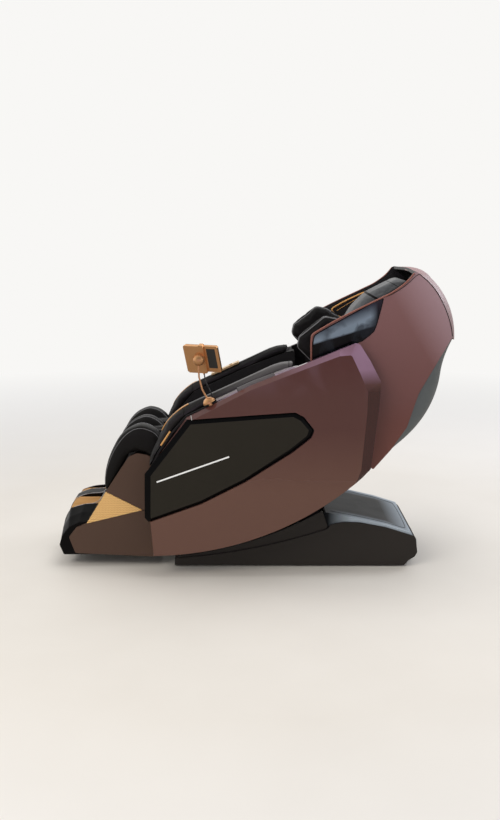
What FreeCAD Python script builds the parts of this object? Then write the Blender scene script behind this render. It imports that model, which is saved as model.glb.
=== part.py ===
import FreeCAD, Part
import math
import os

V = FreeCAD.Vector
doc = FreeCAD.newDocument("massage_chair")
nodes = []

# Frame: X runs from the feet (-) to the head (+), Y is the width with the sitter's left at -Y,
# Z is up, and the origin is on the floor at the middle of the chair's box. Millimetres.
DIMENSIONS = {
    "baseHalf": 250,
    "baseWall": 6,
    "panHeight": 8,
    "panThickness": 5,
    "shellOuter": 390,
    "shellInner": 352,
    "shellBevel": 18,
    "shellWall": 6,
    "panelInner": 372.5,
    "panelBevel": 8,
    "panelOuter": 388,
    "armInner": 262,
    "armOuter": 350,
    "padInner": 264,
    "padOuter": 336,
    "framePlate": 8,
    "frameHalf": 226,
    "pinClearance": 0.05,
    "tiltPinRadius": 11,
    "hipPinRadius": 10,
    "kneePinRadius": 8,
    "tubeRadius": 14,
    "kneeX": -489.5,
    "kneeZ": 493,
    "hipX": 172,
    "hipZ": 400,
    "tiltX": 230,
    "tiltZ": 300,
    "backTipX": 479,
    "backTipZ": 432,
    "backLean": 60.6,
    "backInner": 278,
    "backFlare": 5.4,
    "backPlate": 12,
    "backFrameInner": 208,
    "backFrameOuter": 216,
    "liningThickness": 11,
    "calfHalf": 249,
    "calfCoreHalf": 242,
    "ridgeInner": 166,
    "middleHalf": 36,
    "channelRadius": 46,
    "linerThickness": 14,
    "footHalf": 236,
    "sidePlateOuter": 250,
    "wheelRadius": 20,
    "wheelAxleRadius": 5,
    "footRollerRadius": 18,
    "actuatorRadius": 18,
    "rodRadius": 9,
    "slideRodRadius": 8,
    "cableRadius": 2.5,
    "tabletThickness": 11.8,
    "keyRadius": 8,
}

dims = doc.addObject("Spreadsheet::Sheet", "Dims")
for row, (alias, value) in enumerate(DIMENSIONS.items(), start=1):
    dims.set("A%d" % row, alias)
    dims.set("B%d" % row, str(value))
    dims.setAlias("B%d" % row, alias)
doc.recompute()


def size(alias):
    return float(dims.get(alias))


KNEE = (size("kneeX"), size("kneeZ"))
HIP = (size("hipX"), size("hipZ"))
TILT = (size("tiltX"), size("tiltZ"))


def bind(thing, field, value):
    # A text value is an expression on the sheet's cells, and a number is set as it is.
    if isinstance(value, str):
        thing.setExpression(field, value)
    elif field.startswith("AttachmentOffset.Base.z"):
        offset = thing.AttachmentOffset
        offset.Base.z = value
        thing.AttachmentOffset = offset
    else:
        setattr(thing, field, value)


def outline(points):
    # A corner is (x, y), a rounded corner (x, y, radius), and ("via", x, y) makes the edge
    # between its two neighbours an arc through that point.
    corners = []
    vias = {}
    for point in points:
        if point[0] == "via":
            vias[len(corners) - 1] = V(point[1], point[2], 0)
        else:
            corners.append(point)
    count = len(corners)
    arrivals = []
    departures = []
    rounds = []
    for i, corner in enumerate(corners):
        here = V(corner[0], corner[1], 0)
        arrive = depart = here
        arc = None
        if len(corner) == 3:
            before = V(*corners[i - 1][:2], 0) - here
            after = V(*corners[(i + 1) % count][:2], 0) - here
            half = before.getAngle(after) / 2
            before.normalize()
            after.normalize()
            reach = corner[2] / math.tan(half)
            arrive = here + before * reach
            depart = here + after * reach
            inward = before + after
            inward.normalize()
            middle = here + inward * (corner[2] / math.sin(half) - corner[2])
            arc = Part.Arc(arrive, middle, depart)
        arrivals.append(arrive)
        departures.append(depart)
        rounds.append(arc)
    edges = []
    for i in range(count):
        if rounds[i]:
            edges.append(rounds[i])
        end = arrivals[(i + 1) % count]
        if i in vias:
            edges.append(Part.Arc(departures[i], vias[i], end))
        else:
            edges.append(Part.LineSegment(departures[i], end))
    return edges


def circle(center, radius):
    return [Part.Circle(V(center[0], center[1], 0), V(0, 0, 1), radius)]


def inset(points, distance):
    # The outline moved inwards by a distance, as lines and arcs again.
    wire = Part.Wire([edge.toShape() for edge in outline(points)])
    moved = wire.makeOffset2D(-distance)
    edges = []
    for edge in moved.OrderedEdges:
        first, last = edge.FirstParameter, edge.LastParameter
        start, end = edge.valueAt(first), edge.valueAt(last)
        if isinstance(edge.Curve, Part.Line):
            edges.append(Part.LineSegment(start, end))
        else:
            edges.append(Part.Arc(start, edge.valueAt((first + last) / 2), end))
    return edges


def newBody(label, placement=None):
    body = doc.addObject("PartDesign::Body", label)
    body.Label = label
    if placement:
        body.Placement = placement
    return body


def sketchOn(body, role, offset, edges, flare=None):
    plane = [feature for feature in body.Origin.OriginFeatures if feature.Role == role][0]
    sketch = body.newObject("Sketcher::SketchObject", body.Label + "_sketch")
    sketch.AttachmentSupport = [(plane, "")]
    sketch.MapMode = "FlatFace"
    if flare:
        sketch.AttachmentOffset = FreeCAD.Placement(V(0, 0, 0), FreeCAD.Rotation(V(1, 0, 0), flare))
    bind(sketch, "AttachmentOffset.Base.z", offset)
    sketch.addGeometry(edges, False)
    return sketch


def pad(body, edges, start, length, role="XZ_Plane", flare=None):
    # On the side view's plane, start and length are measured towards -Y.
    sketch = sketchOn(body, role, start, edges, flare)
    feature = body.newObject("PartDesign::Pad", body.Label + "_pad")
    feature.Profile = sketch
    bind(feature, "Length", length)
    body.Tip = feature
    return feature


def pocket(body, edges, start, length, role="XZ_Plane", flare=None):
    # The cut runs from its start along the plane's normal, as the pads do.
    sketch = sketchOn(body, role, start, edges, flare)
    feature = body.newObject("PartDesign::Pocket", body.Label + "_pocket")
    feature.Profile = sketch
    feature.Reversed = True
    bind(feature, "Length", length)
    body.Tip = feature
    return feature


def loft(body, sections, ruled=False, flares=None, cut=False):
    # Sections are (start, edges) pairs along the side view's normal.
    sketches = []
    for i, (start, edges) in enumerate(sections):
        sketches.append(sketchOn(body, "XZ_Plane", start, edges, flares[i] if flares else None))
    kind = "PartDesign::SubtractiveLoft" if cut else "PartDesign::AdditiveLoft"
    feature = body.newObject(kind, body.Label + "_loft")
    feature.Profile = sketches[0]
    feature.Sections = sketches[1:]
    feature.Ruled = ruled
    body.Tip = feature
    return feature


def keep(thing, label=None):
    if label:
        thing.Label = label
    nodes.append(thing)
    return thing


def mirrored(label, source):
    copy = doc.addObject("Part::Mirroring", label)
    copy.Source = source
    copy.Normal = V(0, 1, 0)
    copy.Base = V(0, 0, 0)
    return keep(copy, label)


def group(label, members):
    compound = doc.addObject("Part::Compound", label)
    compound.Links = members
    return keep(compound, label)


def block(name, low, high):
    box = doc.addObject("Part::Box", name)
    box.Length = high[0] - low[0]
    box.Width = high[1] - low[1]
    box.Height = high[2] - low[2]
    box.Placement.Base = V(*low)
    return box


def rod(name, start, end, radius):
    start, end = V(*start), V(*end)
    cylinder = doc.addObject("Part::Cylinder", name)
    bind(cylinder, "Radius", radius)
    cylinder.Height = (end - start).Length
    cylinder.Placement = FreeCAD.Placement(start, FreeCAD.Rotation(V(0, 0, 1), end - start))
    return cylinder


def fused(name, members):
    joined = doc.addObject("Part::MultiFuse", name)
    joined.Shapes = members
    return joined


def cutFrom(name, base, tool):
    result = doc.addObject("Part::Cut", name)
    result.Base = base
    result.Tool = tool
    return result


def turned(point, center, degrees):
    # The point after a turn from X towards Z about the centre.
    angle = math.radians(degrees)
    dx, dz = point[0] - center[0], point[1] - center[1]
    return (center[0] + dx * math.cos(angle) - dz * math.sin(angle),
            center[1] + dx * math.sin(angle) + dz * math.cos(angle))


def around(center, radius, degrees):
    return turned((center[0] + radius, center[1]), center, degrees)


# Base: pan, skirt, covers, rails, feet and wheels

BASE_FRONT, BASE_REAR = -347, 680
RIDGE = [(BASE_FRONT, 36), ("via", 20, 88), (299, 165), (312, 184, 12), (366, 195, 60), (434, 193, 60),
         (544, 172, 80), (664, 134, 14)]
WHEEL = (638, 24)
WHEEL_PLATES = (168, 206)


def makeBasePan():
    # The pan carries the wheel axles and the two welded rails that the carriage slides on.
    body = newBody("base_pan_sheet")
    rear = 600
    low, high = size("panHeight"), size("panHeight") + size("panThickness")
    pad(body, outline([(-330, low), (rear, low), (rear, high), (-330, high)]), -232, 464)
    lug = [(590, low), (650, 12, 6), (656, 34, 8), (630, 44, 8), (590, 40)]
    for side in (1, -1):
        for distance in WHEEL_PLATES:
            pad(body, outline(lug), distance if side > 0 else -distance - 6, 6)
        start = WHEEL_PLATES[0] - 3 if side > 0 else -WHEEL_PLATES[1] - 9
        pad(body, circle(WHEEL, size("wheelAxleRadius")), start, 50)
    rails = [block("slide_rail", (-300, y, high), (330, y + 30, 38)) for y in (-190, 160)]
    return keep(fused("base_pan", [body] + rails), "base_pan")


def makeRearWheels():
    wheels = []
    for side in (1, -1):
        body = newBody("wheel_one" if side > 0 else "wheel_two")
        start = 178 if side > 0 else -202
        pad(body, circle(WHEEL, size("wheelRadius")), start, 24)
        pocket(body, circle(WHEEL, size("wheelAxleRadius") + size("pinClearance")), start, 24)
        wheels.append(body)
    return group("rear_wheels", wheels)


def makeBaseSkirt():
    body = newBody("base_skirt")
    side = [(BASE_FRONT, 6)] + RIDGE + [(674, 121), (BASE_REAR, 62, 10), (669, 43), (644, 27), (625, 6)]
    pad(body, outline(side), "-Dims.baseHalf", "2 * Dims.baseHalf")
    wall = size("baseWall")
    inside = size("baseHalf") - wall
    room = [(BASE_FRONT + wall, -inside), (668, -inside), (668, inside), (BASE_FRONT + wall, inside)]
    pocket(body, outline(room), 0, 260, "XY_Plane")
    window = [(-90.2, 67.8), (-19.8, 67.8), (-19.8, 102.2), (-90.2, 102.2)]
    pocket(body, outline(window), 640, 60, "YZ_Plane")
    return keep(body)


def makeFrontCover():
    # The upper front cover is a wall inside the skirt, open in the middle for the carriage.
    body = newBody("base_front_cover")
    top = [(-339, 44), ("via", 30, 128), (277, 242, 6), (300, 172)]
    bottom = [(284, 150), ("via", 20, 76), (-339, 24)]
    pad(body, outline(top + bottom), -243.8, 487.6)
    room = [(-331, -236), (320, -236), (320, 236), (-331, 236)]
    pocket(body, outline(room), 0, 260, "XY_Plane")
    return keep(body)


def makeRearCover():
    body = newBody("base_rear_cover")
    top = [(302, 174), (281, 238, 6), (335, 226, 60), (440, 205, 80), (548, 180, 80), (655, 146, 12), (667, 124)]
    side = top + [(640, 120), (540, 158, 60), (440, 180, 60), (340, 182)]
    pad(body, outline(side), -243.8, 487.6)
    inside = [(311, 90), (311, 176), (292, 226, 8), (335, 217, 60), (440, 196, 80), (546, 171, 80), (650, 138),
              (650, 90)]
    pocket(body, outline(inside), -236, 472)
    return keep(body)


def makeFeet():
    feet = []
    for x in (-305, 560):
        for y in (-205, 205):
            feet.append(rod("foot", (x, y, 0), (x, y, size("panHeight")), 22))
    return group("base_feet", feet)


def makeSlideActuator():
    bar = size("slideRodRadius")
    tube = rod("slide_tube_outer", (-318, 0, 52), (-92, 0, 52), 17)
    motor = block("slide_motor", (-318, 10, 30), (-252, 62, 74))
    bore = rod("slide_tube_bore", (-300, 0, 52), (-80, 0, 52), bar + size("pinClearance"))
    feet = [block("slide_tube_foot", (x, -14, 13), (x + 16, 14, 45)) for x in (-312, -120)]
    whole = fused("slide_tube_whole", [tube, motor] + feet)
    keep(cutFrom("slide_actuator_tube", whole, bore), "slide_actuator_tube")
    keep(rod("slide_actuator_rod", (-132, 0, 52), (40, 0, 52), "Dims.slideRodRadius"), "slide_actuator_rod")


def makePower():
    keep(block("power_unit", (430, -95, 13), (585, 95, 96)), "power_unit")
    body = newBody("power_inlet")
    face = [(-90, 68, 3), (-20, 68, 3), (-20, 102, 3), (-90, 102, 3)]
    pad(body, outline(face), 655, 26, "YZ_Plane")
    rim = [(-94, 64, 4), (-16, 64, 4), (-16, 106, 4), (-94, 106, 4)]
    pad(body, outline(rim), 680.5, 2.5, "YZ_Plane")
    socket = [(-84, 75, 3), (-56, 75, 3), (-56, 89), (-62, 95), (-78, 95), (-84, 89)]
    pocket(body, outline(socket), 664, 25, "YZ_Plane")
    opening = [(-48, 71), (-26, 71), (-26, 99), (-48, 99)]
    pocket(body, outline(opening), 660, 25, "YZ_Plane")
    keep(body)
    rocker = newBody("power_rocker")
    side = [(671, 73.5), (684, 75, 2), (681, 85), (687, 95, 2), (671, 96.5)]
    pad(rocker, outline(side), 27, 20)
    keep(rocker)


# Carriage: slides along the rails and carries the seat on two stub axles

CARRIAGE_FRONT, CARRIAGE_REAR = 40, 290
TILT_ROD = (62, 60)


def makeCarriage():
    body = newBody("carriage_frame")
    plate = [(CARRIAGE_FRONT, 45), (CARRIAGE_REAR, 45), (CARRIAGE_REAR, 60), (CARRIAGE_FRONT, 60)]
    pad(body, outline(plate), -217, 434)
    upright = [(140, 55), (288, 55), (TILT[0] + 24, TILT[1]), (TILT[0] - 24, TILT[1])]
    for start in (203, -215):
        pad(body, outline(upright), start, 12)
        pad(body, circle(TILT, 24), start, 12)
    for start in (200, -232):
        pad(body, circle(TILT, size("tiltPinRadius")), start, 32)
    for low in (60, 222):
        runner = [(low, 38.4), (low + 50, 38.4), (low + 50, 46), (low, 46)]
        for start in (162, -188):
            pad(body, outline(runner), start, 26)
    return keep(body)


def makeTiltActuator():
    x, y = TILT_ROD
    tube = rod("tilt_tube_outer", (x, y, 60), (x, y, 190), "Dims.actuatorRadius")
    motor = block("tilt_motor", (x + 8, y - 20, 60), (x + 66, y + 20, 108))
    bore = rod("tilt_tube_bore", (x, y, 78), (x, y, 200), size("rodRadius") + size("pinClearance"))
    whole = fused("tilt_tube_whole", [tube, motor])
    keep(cutFrom("tilt_actuator_tube", whole, bore), "tilt_actuator_tube")
    stem = rod("tilt_rod_stem", (x, y, 86), (x, y, 240), "Dims.rodRadius")
    eye = rod("tilt_rod_eye", (x, y - 5.5, 250), (x, y + 5.5, 250), 14)
    hole = rod("tilt_rod_hole", (x, y - 10, 250), (x, y + 10, 250), 7)
    keep(cutFrom("tilt_actuator_rod", fused("tilt_rod_whole", [stem, eye]), hole), "tilt_actuator_rod")


# Seat: side plates, tubes, pan, knee brackets and clevises in one welded frame

FRONT_TUBE = (-318, 478)
MIDDLE_TUBE = (62, 335)
REAR_TUBE = (112, 350)
RECLINE_PIVOT = (-200, 290)
RECLINE_TUBE = (-200, 330)
RECLINE_EYE = (190, 300)


def makeSeatFrame():
    body = newBody("seat_frame")
    side = [(-345, 420, 20), (-345, 507), (150, 395), (HIP[0] - 24, HIP[1] + 14), (HIP[0] + 24, HIP[1] + 14),
            (264, 300, 20), (232, 270, 20), (120, 262, 60), (-100, 290, 80), (-250, 350, 60)]
    inner = size("frameHalf") - size("framePlate")
    for start in (inner, -size("frameHalf")):
        pad(body, outline(side), start, "Dims.framePlate")
        pad(body, circle(HIP, 27), start, "Dims.framePlate")
        pad(body, circle(TILT, 27), start, "Dims.framePlate")
    pan = [(-345, 500), (-345, 506), (138, 396.7), (138, 390.7)]
    pad(body, outline(pan), -inner - 1, 2 * inner + 2)
    for center in (FRONT_TUBE, MIDDLE_TUBE, REAR_TUBE, RECLINE_TUBE):
        pad(body, circle(center, size("tubeRadius")), "-Dims.armInner", "2 * Dims.armInner")
    beam = [(-312, 466), (-312, 492), (-486, 505), (-486, 474)]
    for start in (96, -106):
        pad(body, outline(beam), start, 10)
        pad(body, circle(KNEE, 20), start, 10)
    tiltEar = [(46, 335), (46, 244, 10), (78, 244, 10), (78, 335)]
    for start in (-54, -72):
        pad(body, outline(tiltEar), start, 6)
    reclineEar = [(-212, 330), (-212, 276, 10), (-188, 276, 10), (-188, 330)]
    for start in (21, -27):
        pad(body, outline(reclineEar), start, 6)
    pad(body, circle(RECLINE_PIVOT, 8), -25, 50)
    for center, radius in ((HIP, "hipPinRadius"), (TILT, "tiltPinRadius"), (KNEE, "kneePinRadius")):
        pocket(body, circle(center, size(radius) + size("pinClearance")), -260, 520)
    return keep(body)


def makePivotPins():
    pins = []
    for side in (1, -1):
        pins.append(rod("hip_pin", (HIP[0], side * 206, HIP[1]), (HIP[0], side * 229, HIP[1]), "Dims.hipPinRadius"))
        pins.append(rod("knee_pin", (KNEE[0], side * 76, KNEE[1]), (KNEE[0], side * 126, KNEE[1]),
                        "Dims.kneePinRadius"))
    return group("pivot_pins", pins)


def makeLegMotor():
    box = block("leg_gearbox", (-330, -60, 400), (-262, 10, 462))
    motor = rod("leg_motor", (-296, 10, 432), (-296, 110, 432), 26)
    shaft = rod("leg_shaft", (-296, -90, 432), (-296, -60, 432), 10)
    return keep(fused("leg_lift_motor", [box, motor, shaft]), "leg_lift_motor")


def makeReclineActuator():
    start, end = V(RECLINE_PIVOT[0], 0, RECLINE_PIVOT[1]), V(RECLINE_EYE[0], 0, RECLINE_EYE[1])
    along = (end - start).normalize()

    def at(distance):
        point = start + along * distance
        return (point.x, point.y, point.z)

    tube = rod("recline_tube_outer", at(12), at(225), "Dims.actuatorRadius")
    hub = rod("recline_tube_hub", (start.x, -20, start.z), (start.x, 20, start.z), 16)
    motor = block("recline_motor", (start.x + 20, 16, start.z - 22), (start.x + 82, 70, start.z + 20))
    bore = rod("recline_tube_bore", at(30), at(240), size("rodRadius") + size("pinClearance"))
    hole = rod("recline_tube_hole", (start.x, -40, start.z), (start.x, 40, start.z), 8 + size("pinClearance"))
    whole = fused("recline_tube_whole", [tube, hub, motor])
    cut = cutFrom("recline_tube_bored", whole, bore)
    keep(cutFrom("recline_actuator_tube", cut, hole), "recline_actuator_tube")
    length = (end - start).Length
    stem = rod("recline_rod_stem", at(130), at(length - 8), "Dims.rodRadius")
    eye = rod("recline_rod_eye", (end.x, -6, end.z), (end.x, 6, end.z), 14)
    hole = rod("recline_rod_hole", (end.x, -10, end.z), (end.x, 10, end.z), 7)
    keep(cutFrom("recline_actuator_rod", fused("recline_rod_whole", [stem, eye]), hole), "recline_actuator_rod")


def crowned(bottom, top, drop):
    # A cushion's side view: the top points sink by the drop, straight down.
    return outline(bottom + [(x, z - drop) + tuple(rest) for x, z, *rest in top])


def makeSeatCushion():
    body = newBody("seat_cushion")
    bottom = [(-338, 506), (138, 398.7)]
    top = [(154, 440, 20), (154, 482, 20), (-60, 538, 200), (-330, 597, 30), (-352, 560, 20)]
    levels = [(-250, 34), (-244, 18), (-205, 8), (-122, 4), (-116, 18), (-110, 3), (0, 0),
              (110, 3), (116, 18), (122, 4), (205, 8), (244, 18), (250, 34)]
    loft(body, [(start, crowned(bottom, top, drop)) for start, drop in levels], ruled=True)
    nose = [(-330, 540), (-330, 584), (-474, 572, 5), (-478, 544, 5)]
    for start in (44, -158):
        pad(body, outline(nose), start, 114)
    return keep(body)


# Arms: outer shell with its bevels, dark side panel, light strip, inner box and pad

SHELL_EDGE = [(-283, 664), (-28, 794), (185, 880), (327, 938), (403, 968, 22), (450, 895), (494, 811, 16), (490, 715),
              (461, 454, 10), (427, 417), ("via", -48, 146), (-425, 89), (-437, 233), (-453, 255), (-450, 434)]
SHELL_FACE = [(-279, 648), (-28, 777), (185, 861), (327, 915), (374, 919, 10), (408, 848), (441, 772, 10), (440, 690),
              (420, 452, 8), (400, 399), ("via", -48, 152), (-421, 93), (-433, 233), (-449, 256), (-446, 432)]
PANEL_EDGE = [(-281, 657), (152, 688, 20), (187, 669), (229, 616, 14), (217, 586, 30), (142, 526), (-47, 404),
              (-225, 313), (-441, 235), (-457, 252), (-454, 435)]
PANEL_FACE = [(-266, 640), (145, 671, 16), (176, 654), (208, 616, 10), (200, 594, 22), (134, 540), (-52, 416),
              (-229, 325), (-431, 251), (-432, 262), (-429, 428)]
PANEL_RECESS = [(-283, 658.5), (152, 689.5, 20), (188.5, 670.5), (231, 616, 15), (218.5, 585, 30), (143, 524.5),
                (-46, 402.5), (-224, 311.5), (-441, 233), (-480, 225), (-480, 440), (-320, 664)]
SHELL_HOLLOW = [(-150, 712), (60, 810), (330, 900, 20), (375, 820), (400, 740), (390, 470), (330, 375), (100, 240),
                (-150, 170), (-400, 112), (-410, 205), (-210, 290), (-20, 385), (165, 505, 30), (256, 612, 30),
                (205, 690, 20), (150, 712)]
LIGHT = [(-405, 403), (-112, 508)]


def makeArmShell():
    body = newBody("arm_shell_left")
    inner, outer = size("shellInner"), size("shellOuter")
    shoulder = outer - size("shellBevel")
    pad(body, outline(SHELL_EDGE), "Dims.shellInner", "Dims.shellOuter - Dims.shellBevel - Dims.shellInner")
    loft(body, [(shoulder, outline(SHELL_EDGE)), (outer, outline(SHELL_FACE))], ruled=True)
    pocket(body, outline(PANEL_RECESS), shoulder, 30)
    pocket(body, inset(SHELL_EDGE, 8), inner, shoulder - inner - size("shellWall"))
    pocket(body, outline(SHELL_HOLLOW), inner, outer - inner - size("shellWall"))
    keep(body)
    return mirrored("arm_shell_right", body)


def makeSidePanel():
    body = newBody("side_panel_left")
    inner, outer = size("panelInner"), size("panelOuter")
    shoulder = outer - size("panelBevel")
    pad(body, outline(PANEL_EDGE), "Dims.panelInner", shoulder - inner)
    loft(body, [(shoulder, outline(PANEL_EDGE)), (outer, outline(PANEL_FACE))], ruled=True)
    pocket(body, strip(3.2), outer - 2, 10)
    keep(body)
    return mirrored("side_panel_right", body)


def strip(half):
    # A slim rectangle of the given half width round the light's line.
    start, end = V(*LIGHT[0], 0), V(*LIGHT[1], 0)
    along = (end - start).normalize()
    across = V(-along.y, along.x, 0) * half
    corners = [start + across, end + across, end - across, start - across]
    return outline([(corner.x, corner.y) for corner in corners])


def makeLightStrips():
    strips = []
    outer = size("panelOuter")
    for side in (1, -1):
        body = newBody("light_near" if side > 0 else "light_far")
        pad(body, strip(3), outer - 1.9 if side > 0 else -outer - 0.6, 2.5)
        strips.append(body)
    return group("light_strips", strips)


def makeArmCore():
    body = newBody("arm_core_left")
    side = [(-436, 262, 20), (-446, 430), (-404, 516), (-349, 598), (-288, 668, 10), (-28, 788), (140, 853),
            (178, 862, 10), (178, 560, 30), (110, 320, 30), (-60, 290, 60), (-260, 300, 40)]
    inner, outer = size("armInner"), size("armOuter")
    pad(body, outline(side), "Dims.armInner", "Dims.armOuter - Dims.armInner")
    pocket(body, inset(side, 8), inner + 6, outer - inner)
    reach = size("shellOuter") - size("shellBevel") - size("shellWall")
    for place in ((-270, 470), (-250, 600), (40, 520), (60, 640)):
        pad(body, circle(place, 12), inner + 4, reach - inner - 4)
    keep(body)
    return mirrored("arm_core_right", body)


def makeArmPad():
    body = newBody("arm_pad_left")
    under = [(142, 855.5), (-28, 789.5), (-288, 669.5), (-350, 598.8), (-405.1, 516.7), (-442.3, 440.5)]
    over = [(-447, 440), (-432, 500), (-412, 540), (-390, 588), (-366, 640), (-338, 670), (-298, 698), (-28, 822),
            (100, 882), (150, 890)]
    levels = [("Dims.padInner", 12), (272, 3), (300, 0), (328, 3), ("Dims.padOuter", 12)]
    sections = []
    for start, drop in levels:
        top = []
        for x, z in over:
            share = drop if z > 690 else drop * 0.3
            top.append((x + (0 if z > 690 else share), z - (share if z > 690 else 0)))
        sections.append((start, outline(under + top)))
    loft(body, sections, ruled=True)
    keep(body)
    return mirrored("arm_pad_right", body)


# Controls: key panel and keys on the right arm, tablet on its stalk on the left arm

PANEL_START, PANEL_SLOPE = (-205, 742.1), 24.6
KEY_PLACES = (40, 100)


def slopeFrame():
    # The frame of the right arm's pad: X along its slope, Z off its surface.
    turn = FreeCAD.Rotation(V(0, 1, 0), -PANEL_SLOPE)
    return FreeCAD.Placement(V(PANEL_START[0], 300, PANEL_START[1]), turn)


def makeKeys():
    body = newBody("key_panel", slopeFrame())
    plate = [(0, -27, 8), (140, -27, 8), (140, 27, 8), (0, 27, 8)]
    pad(body, outline(plate), 0, 8, "XY_Plane")
    for place in KEY_PLACES:
        pocket(body, circle((place, 0), size("keyRadius") + 0.3), 2, 8, "XY_Plane")
    keep(body)
    for label, place in zip(("key_up", "key_down"), KEY_PLACES):
        key = newBody(label, slopeFrame())
        pad(key, circle((place, 0), size("keyRadius")), 4, 7, "XY_Plane")
        keep(key)


SWIVEL_LEAN = 27
STALK_FOOT = (-190.4, -363.5, 724.7)
STALK = [(-199, -363, 741), (-219, -356, 777), (-232, -350, 827), (-234, -348, 876)]
BALL = (-234, -348, 893)
BALL_RADIUS = 19
TABLET_YAW = 67.6
TABLET_LEAN = 23.4
TABLET_LEFT, TABLET_SEAM, TABLET_RIGHT = -65, 23, 81
TABLET_LOW, TABLET_HIGH = -65, 56
GLAND = (4, 18)


def tabletFrame():
    # X across the tablet, Y from its back to its screen, Z up its face, from the ball's centre.
    yaw = math.radians(TABLET_YAW)
    normal = V(math.cos(yaw), math.sin(yaw), 0)
    across = V(normal.y, -normal.x, 0)
    turn = FreeCAD.Rotation(across, normal, V(0, 0, 1), "XYZ")
    return FreeCAD.Placement(V(*BALL), turn.multiply(FreeCAD.Rotation(V(1, 0, 0), TABLET_LEAN)))


CABLE_EXIT = V(0.17, -0.42, -0.89).normalize()


def glandPoint():
    return tabletFrame().multVec(V(GLAND[0], GLAND[1], TABLET_LOW - 2))


def makeStalk():
    lean = FreeCAD.Rotation(V(0, 1, 0), -SWIVEL_LEAN)
    lift = lean.multVec(V(0, 0, 1))
    plate = doc.addObject("Part::Cone", "foot_plate")
    plate.Radius1 = 26
    plate.Radius2 = 25
    plate.Height = 7
    plate.Placement = FreeCAD.Placement(V(*STALK_FOOT), lean)
    boss = rod("foot_boss", tuple(V(*STALK_FOOT) - lift * 11.8), STALK_FOOT, 8)
    keep(fused("tablet_foot", [plate, boss]), "tablet_foot")
    dome = doc.addObject("Part::Sphere", "stalk_dome")
    dome.Radius = 28
    dome.Angle1 = 27
    dome.Placement = FreeCAD.Placement(V(*STALK_FOOT) + lift * (7.2 - 28 * math.sin(math.radians(27))), lean)
    members = [dome]
    for start, end in zip(STALK, STALK[1:] + [BALL]):
        members.append(rod("stalk_run", start, end, 3.5))
    for x, y, z in STALK[1:]:
        joint = doc.addObject("Part::Sphere", "stalk_bend")
        joint.Radius = 3.5
        joint.Placement.Base = V(x, y, z)
        members.append(joint)
    ball = doc.addObject("Part::Sphere", "stalk_ball")
    ball.Radius = BALL_RADIUS
    ball.Placement.Base = V(*BALL)
    members.append(ball)
    keep(fused("tablet_arm", members), "tablet_arm")


def makeTablet():
    frame = tabletFrame()
    holder = newBody("tablet_holder_plate", frame)
    plate = [(TABLET_LEFT, TABLET_LOW, 6), (TABLET_SEAM, TABLET_LOW, 4), (TABLET_SEAM, TABLET_HIGH, 4),
             (TABLET_LEFT, TABLET_HIGH, 6)]
    pad(holder, outline(plate), -22, 8)
    pad(holder, circle((0, 0), 25), -15, 7)
    tab = [(3, TABLET_HIGH - 2), (21, TABLET_HIGH - 2), (21, TABLET_HIGH + 4, 2), (3, TABLET_HIGH + 4, 2)]
    pad(holder, outline(tab), -32, 18)
    ledge = [(TABLET_LEFT + 6, TABLET_LOW - 3), (TABLET_SEAM - 4, TABLET_LOW - 3), (TABLET_SEAM - 4, TABLET_LOW + 1),
             (TABLET_LEFT + 6, TABLET_LOW + 1)]
    pad(holder, outline(ledge), -36, 22)
    lip = [(TABLET_LEFT + 6, TABLET_LOW - 3), (TABLET_SEAM - 4, TABLET_LOW - 3), (TABLET_SEAM - 4, TABLET_LOW + 7),
           (TABLET_LEFT + 6, TABLET_LOW + 7)]
    pad(holder, outline(lip), -38.5, 4)
    socket = doc.addObject("Part::Sphere", "holder_socket")
    socket.Radius = BALL_RADIUS + 0.4
    socket.Placement.Base = V(*BALL)
    gland = rod("holder_gland", tuple(glandPoint() - CABLE_EXIT * 2), tuple(glandPoint() + CABLE_EXIT * 7), 4)
    keep(cutFrom("tablet_holder", fused("holder_whole", [holder, gland]), socket), "tablet_holder")
    slab = newBody("tablet", frame)
    low, high = TABLET_LOW + 1.2, TABLET_HIGH - 2.2
    face = [(TABLET_LEFT, low, 7), (TABLET_RIGHT, low, 7), (TABLET_RIGHT, high, 7), (TABLET_LEFT, high, 7)]
    pad(slab, outline(face), -34, "Dims.tabletThickness")
    bezel = [(TABLET_LEFT + 8, low + 7.8), (TABLET_RIGHT - 8, low + 7.8), (TABLET_RIGHT - 8, high - 7.8),
             (TABLET_LEFT + 8, high - 7.8)]
    pocket(slab, outline(bezel), -34.5, 1.3)
    keep(slab)


def route(points, radius, label):
    # A tube of straight runs joined by tangent arcs, each as large as its two runs allow.
    places = [V(*point) for point in points]
    edges = []
    last = places[0]
    radii = []
    for i in range(1, len(places) - 1):
        before, here, after = places[i - 1], places[i], places[i + 1]
        back, ahead = before - here, after - here
        turn = math.pi - back.getAngle(ahead)
        shorter = min(back.Length, ahead.Length)
        bend = 0.45 * shorter / math.tan(turn / 2)
        back.normalize()
        ahead.normalize()
        enter = here + back * 0.45 * shorter
        leave = here + ahead * 0.45 * shorter
        inward = back + ahead
        inward.normalize()
        middle = here + inward * (bend / math.cos(turn / 2) - bend)
        edges.append(Part.LineSegment(last, enter).toShape())
        edges.append(Part.Arc(enter, middle, leave).toShape())
        last = leave
        radii.append(round(bend, 1))
    edges.append(Part.LineSegment(last, places[-1]).toShape())
    path = Part.Wire(edges)
    start = places[1] - places[0]
    section = Part.Wire([Part.Circle(places[0], start, radius).toShape()])
    tube = path.makePipeShell([section], True, True)
    print("%s: radii %s, length %.1f, volume over section x length %.4f" % (
        label, radii, path.Length, tube.Volume / (math.pi * radius ** 2 * path.Length)))
    feature = doc.addObject("Part::Feature", label)
    feature.Shape = tube
    return keep(feature, label)


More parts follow.
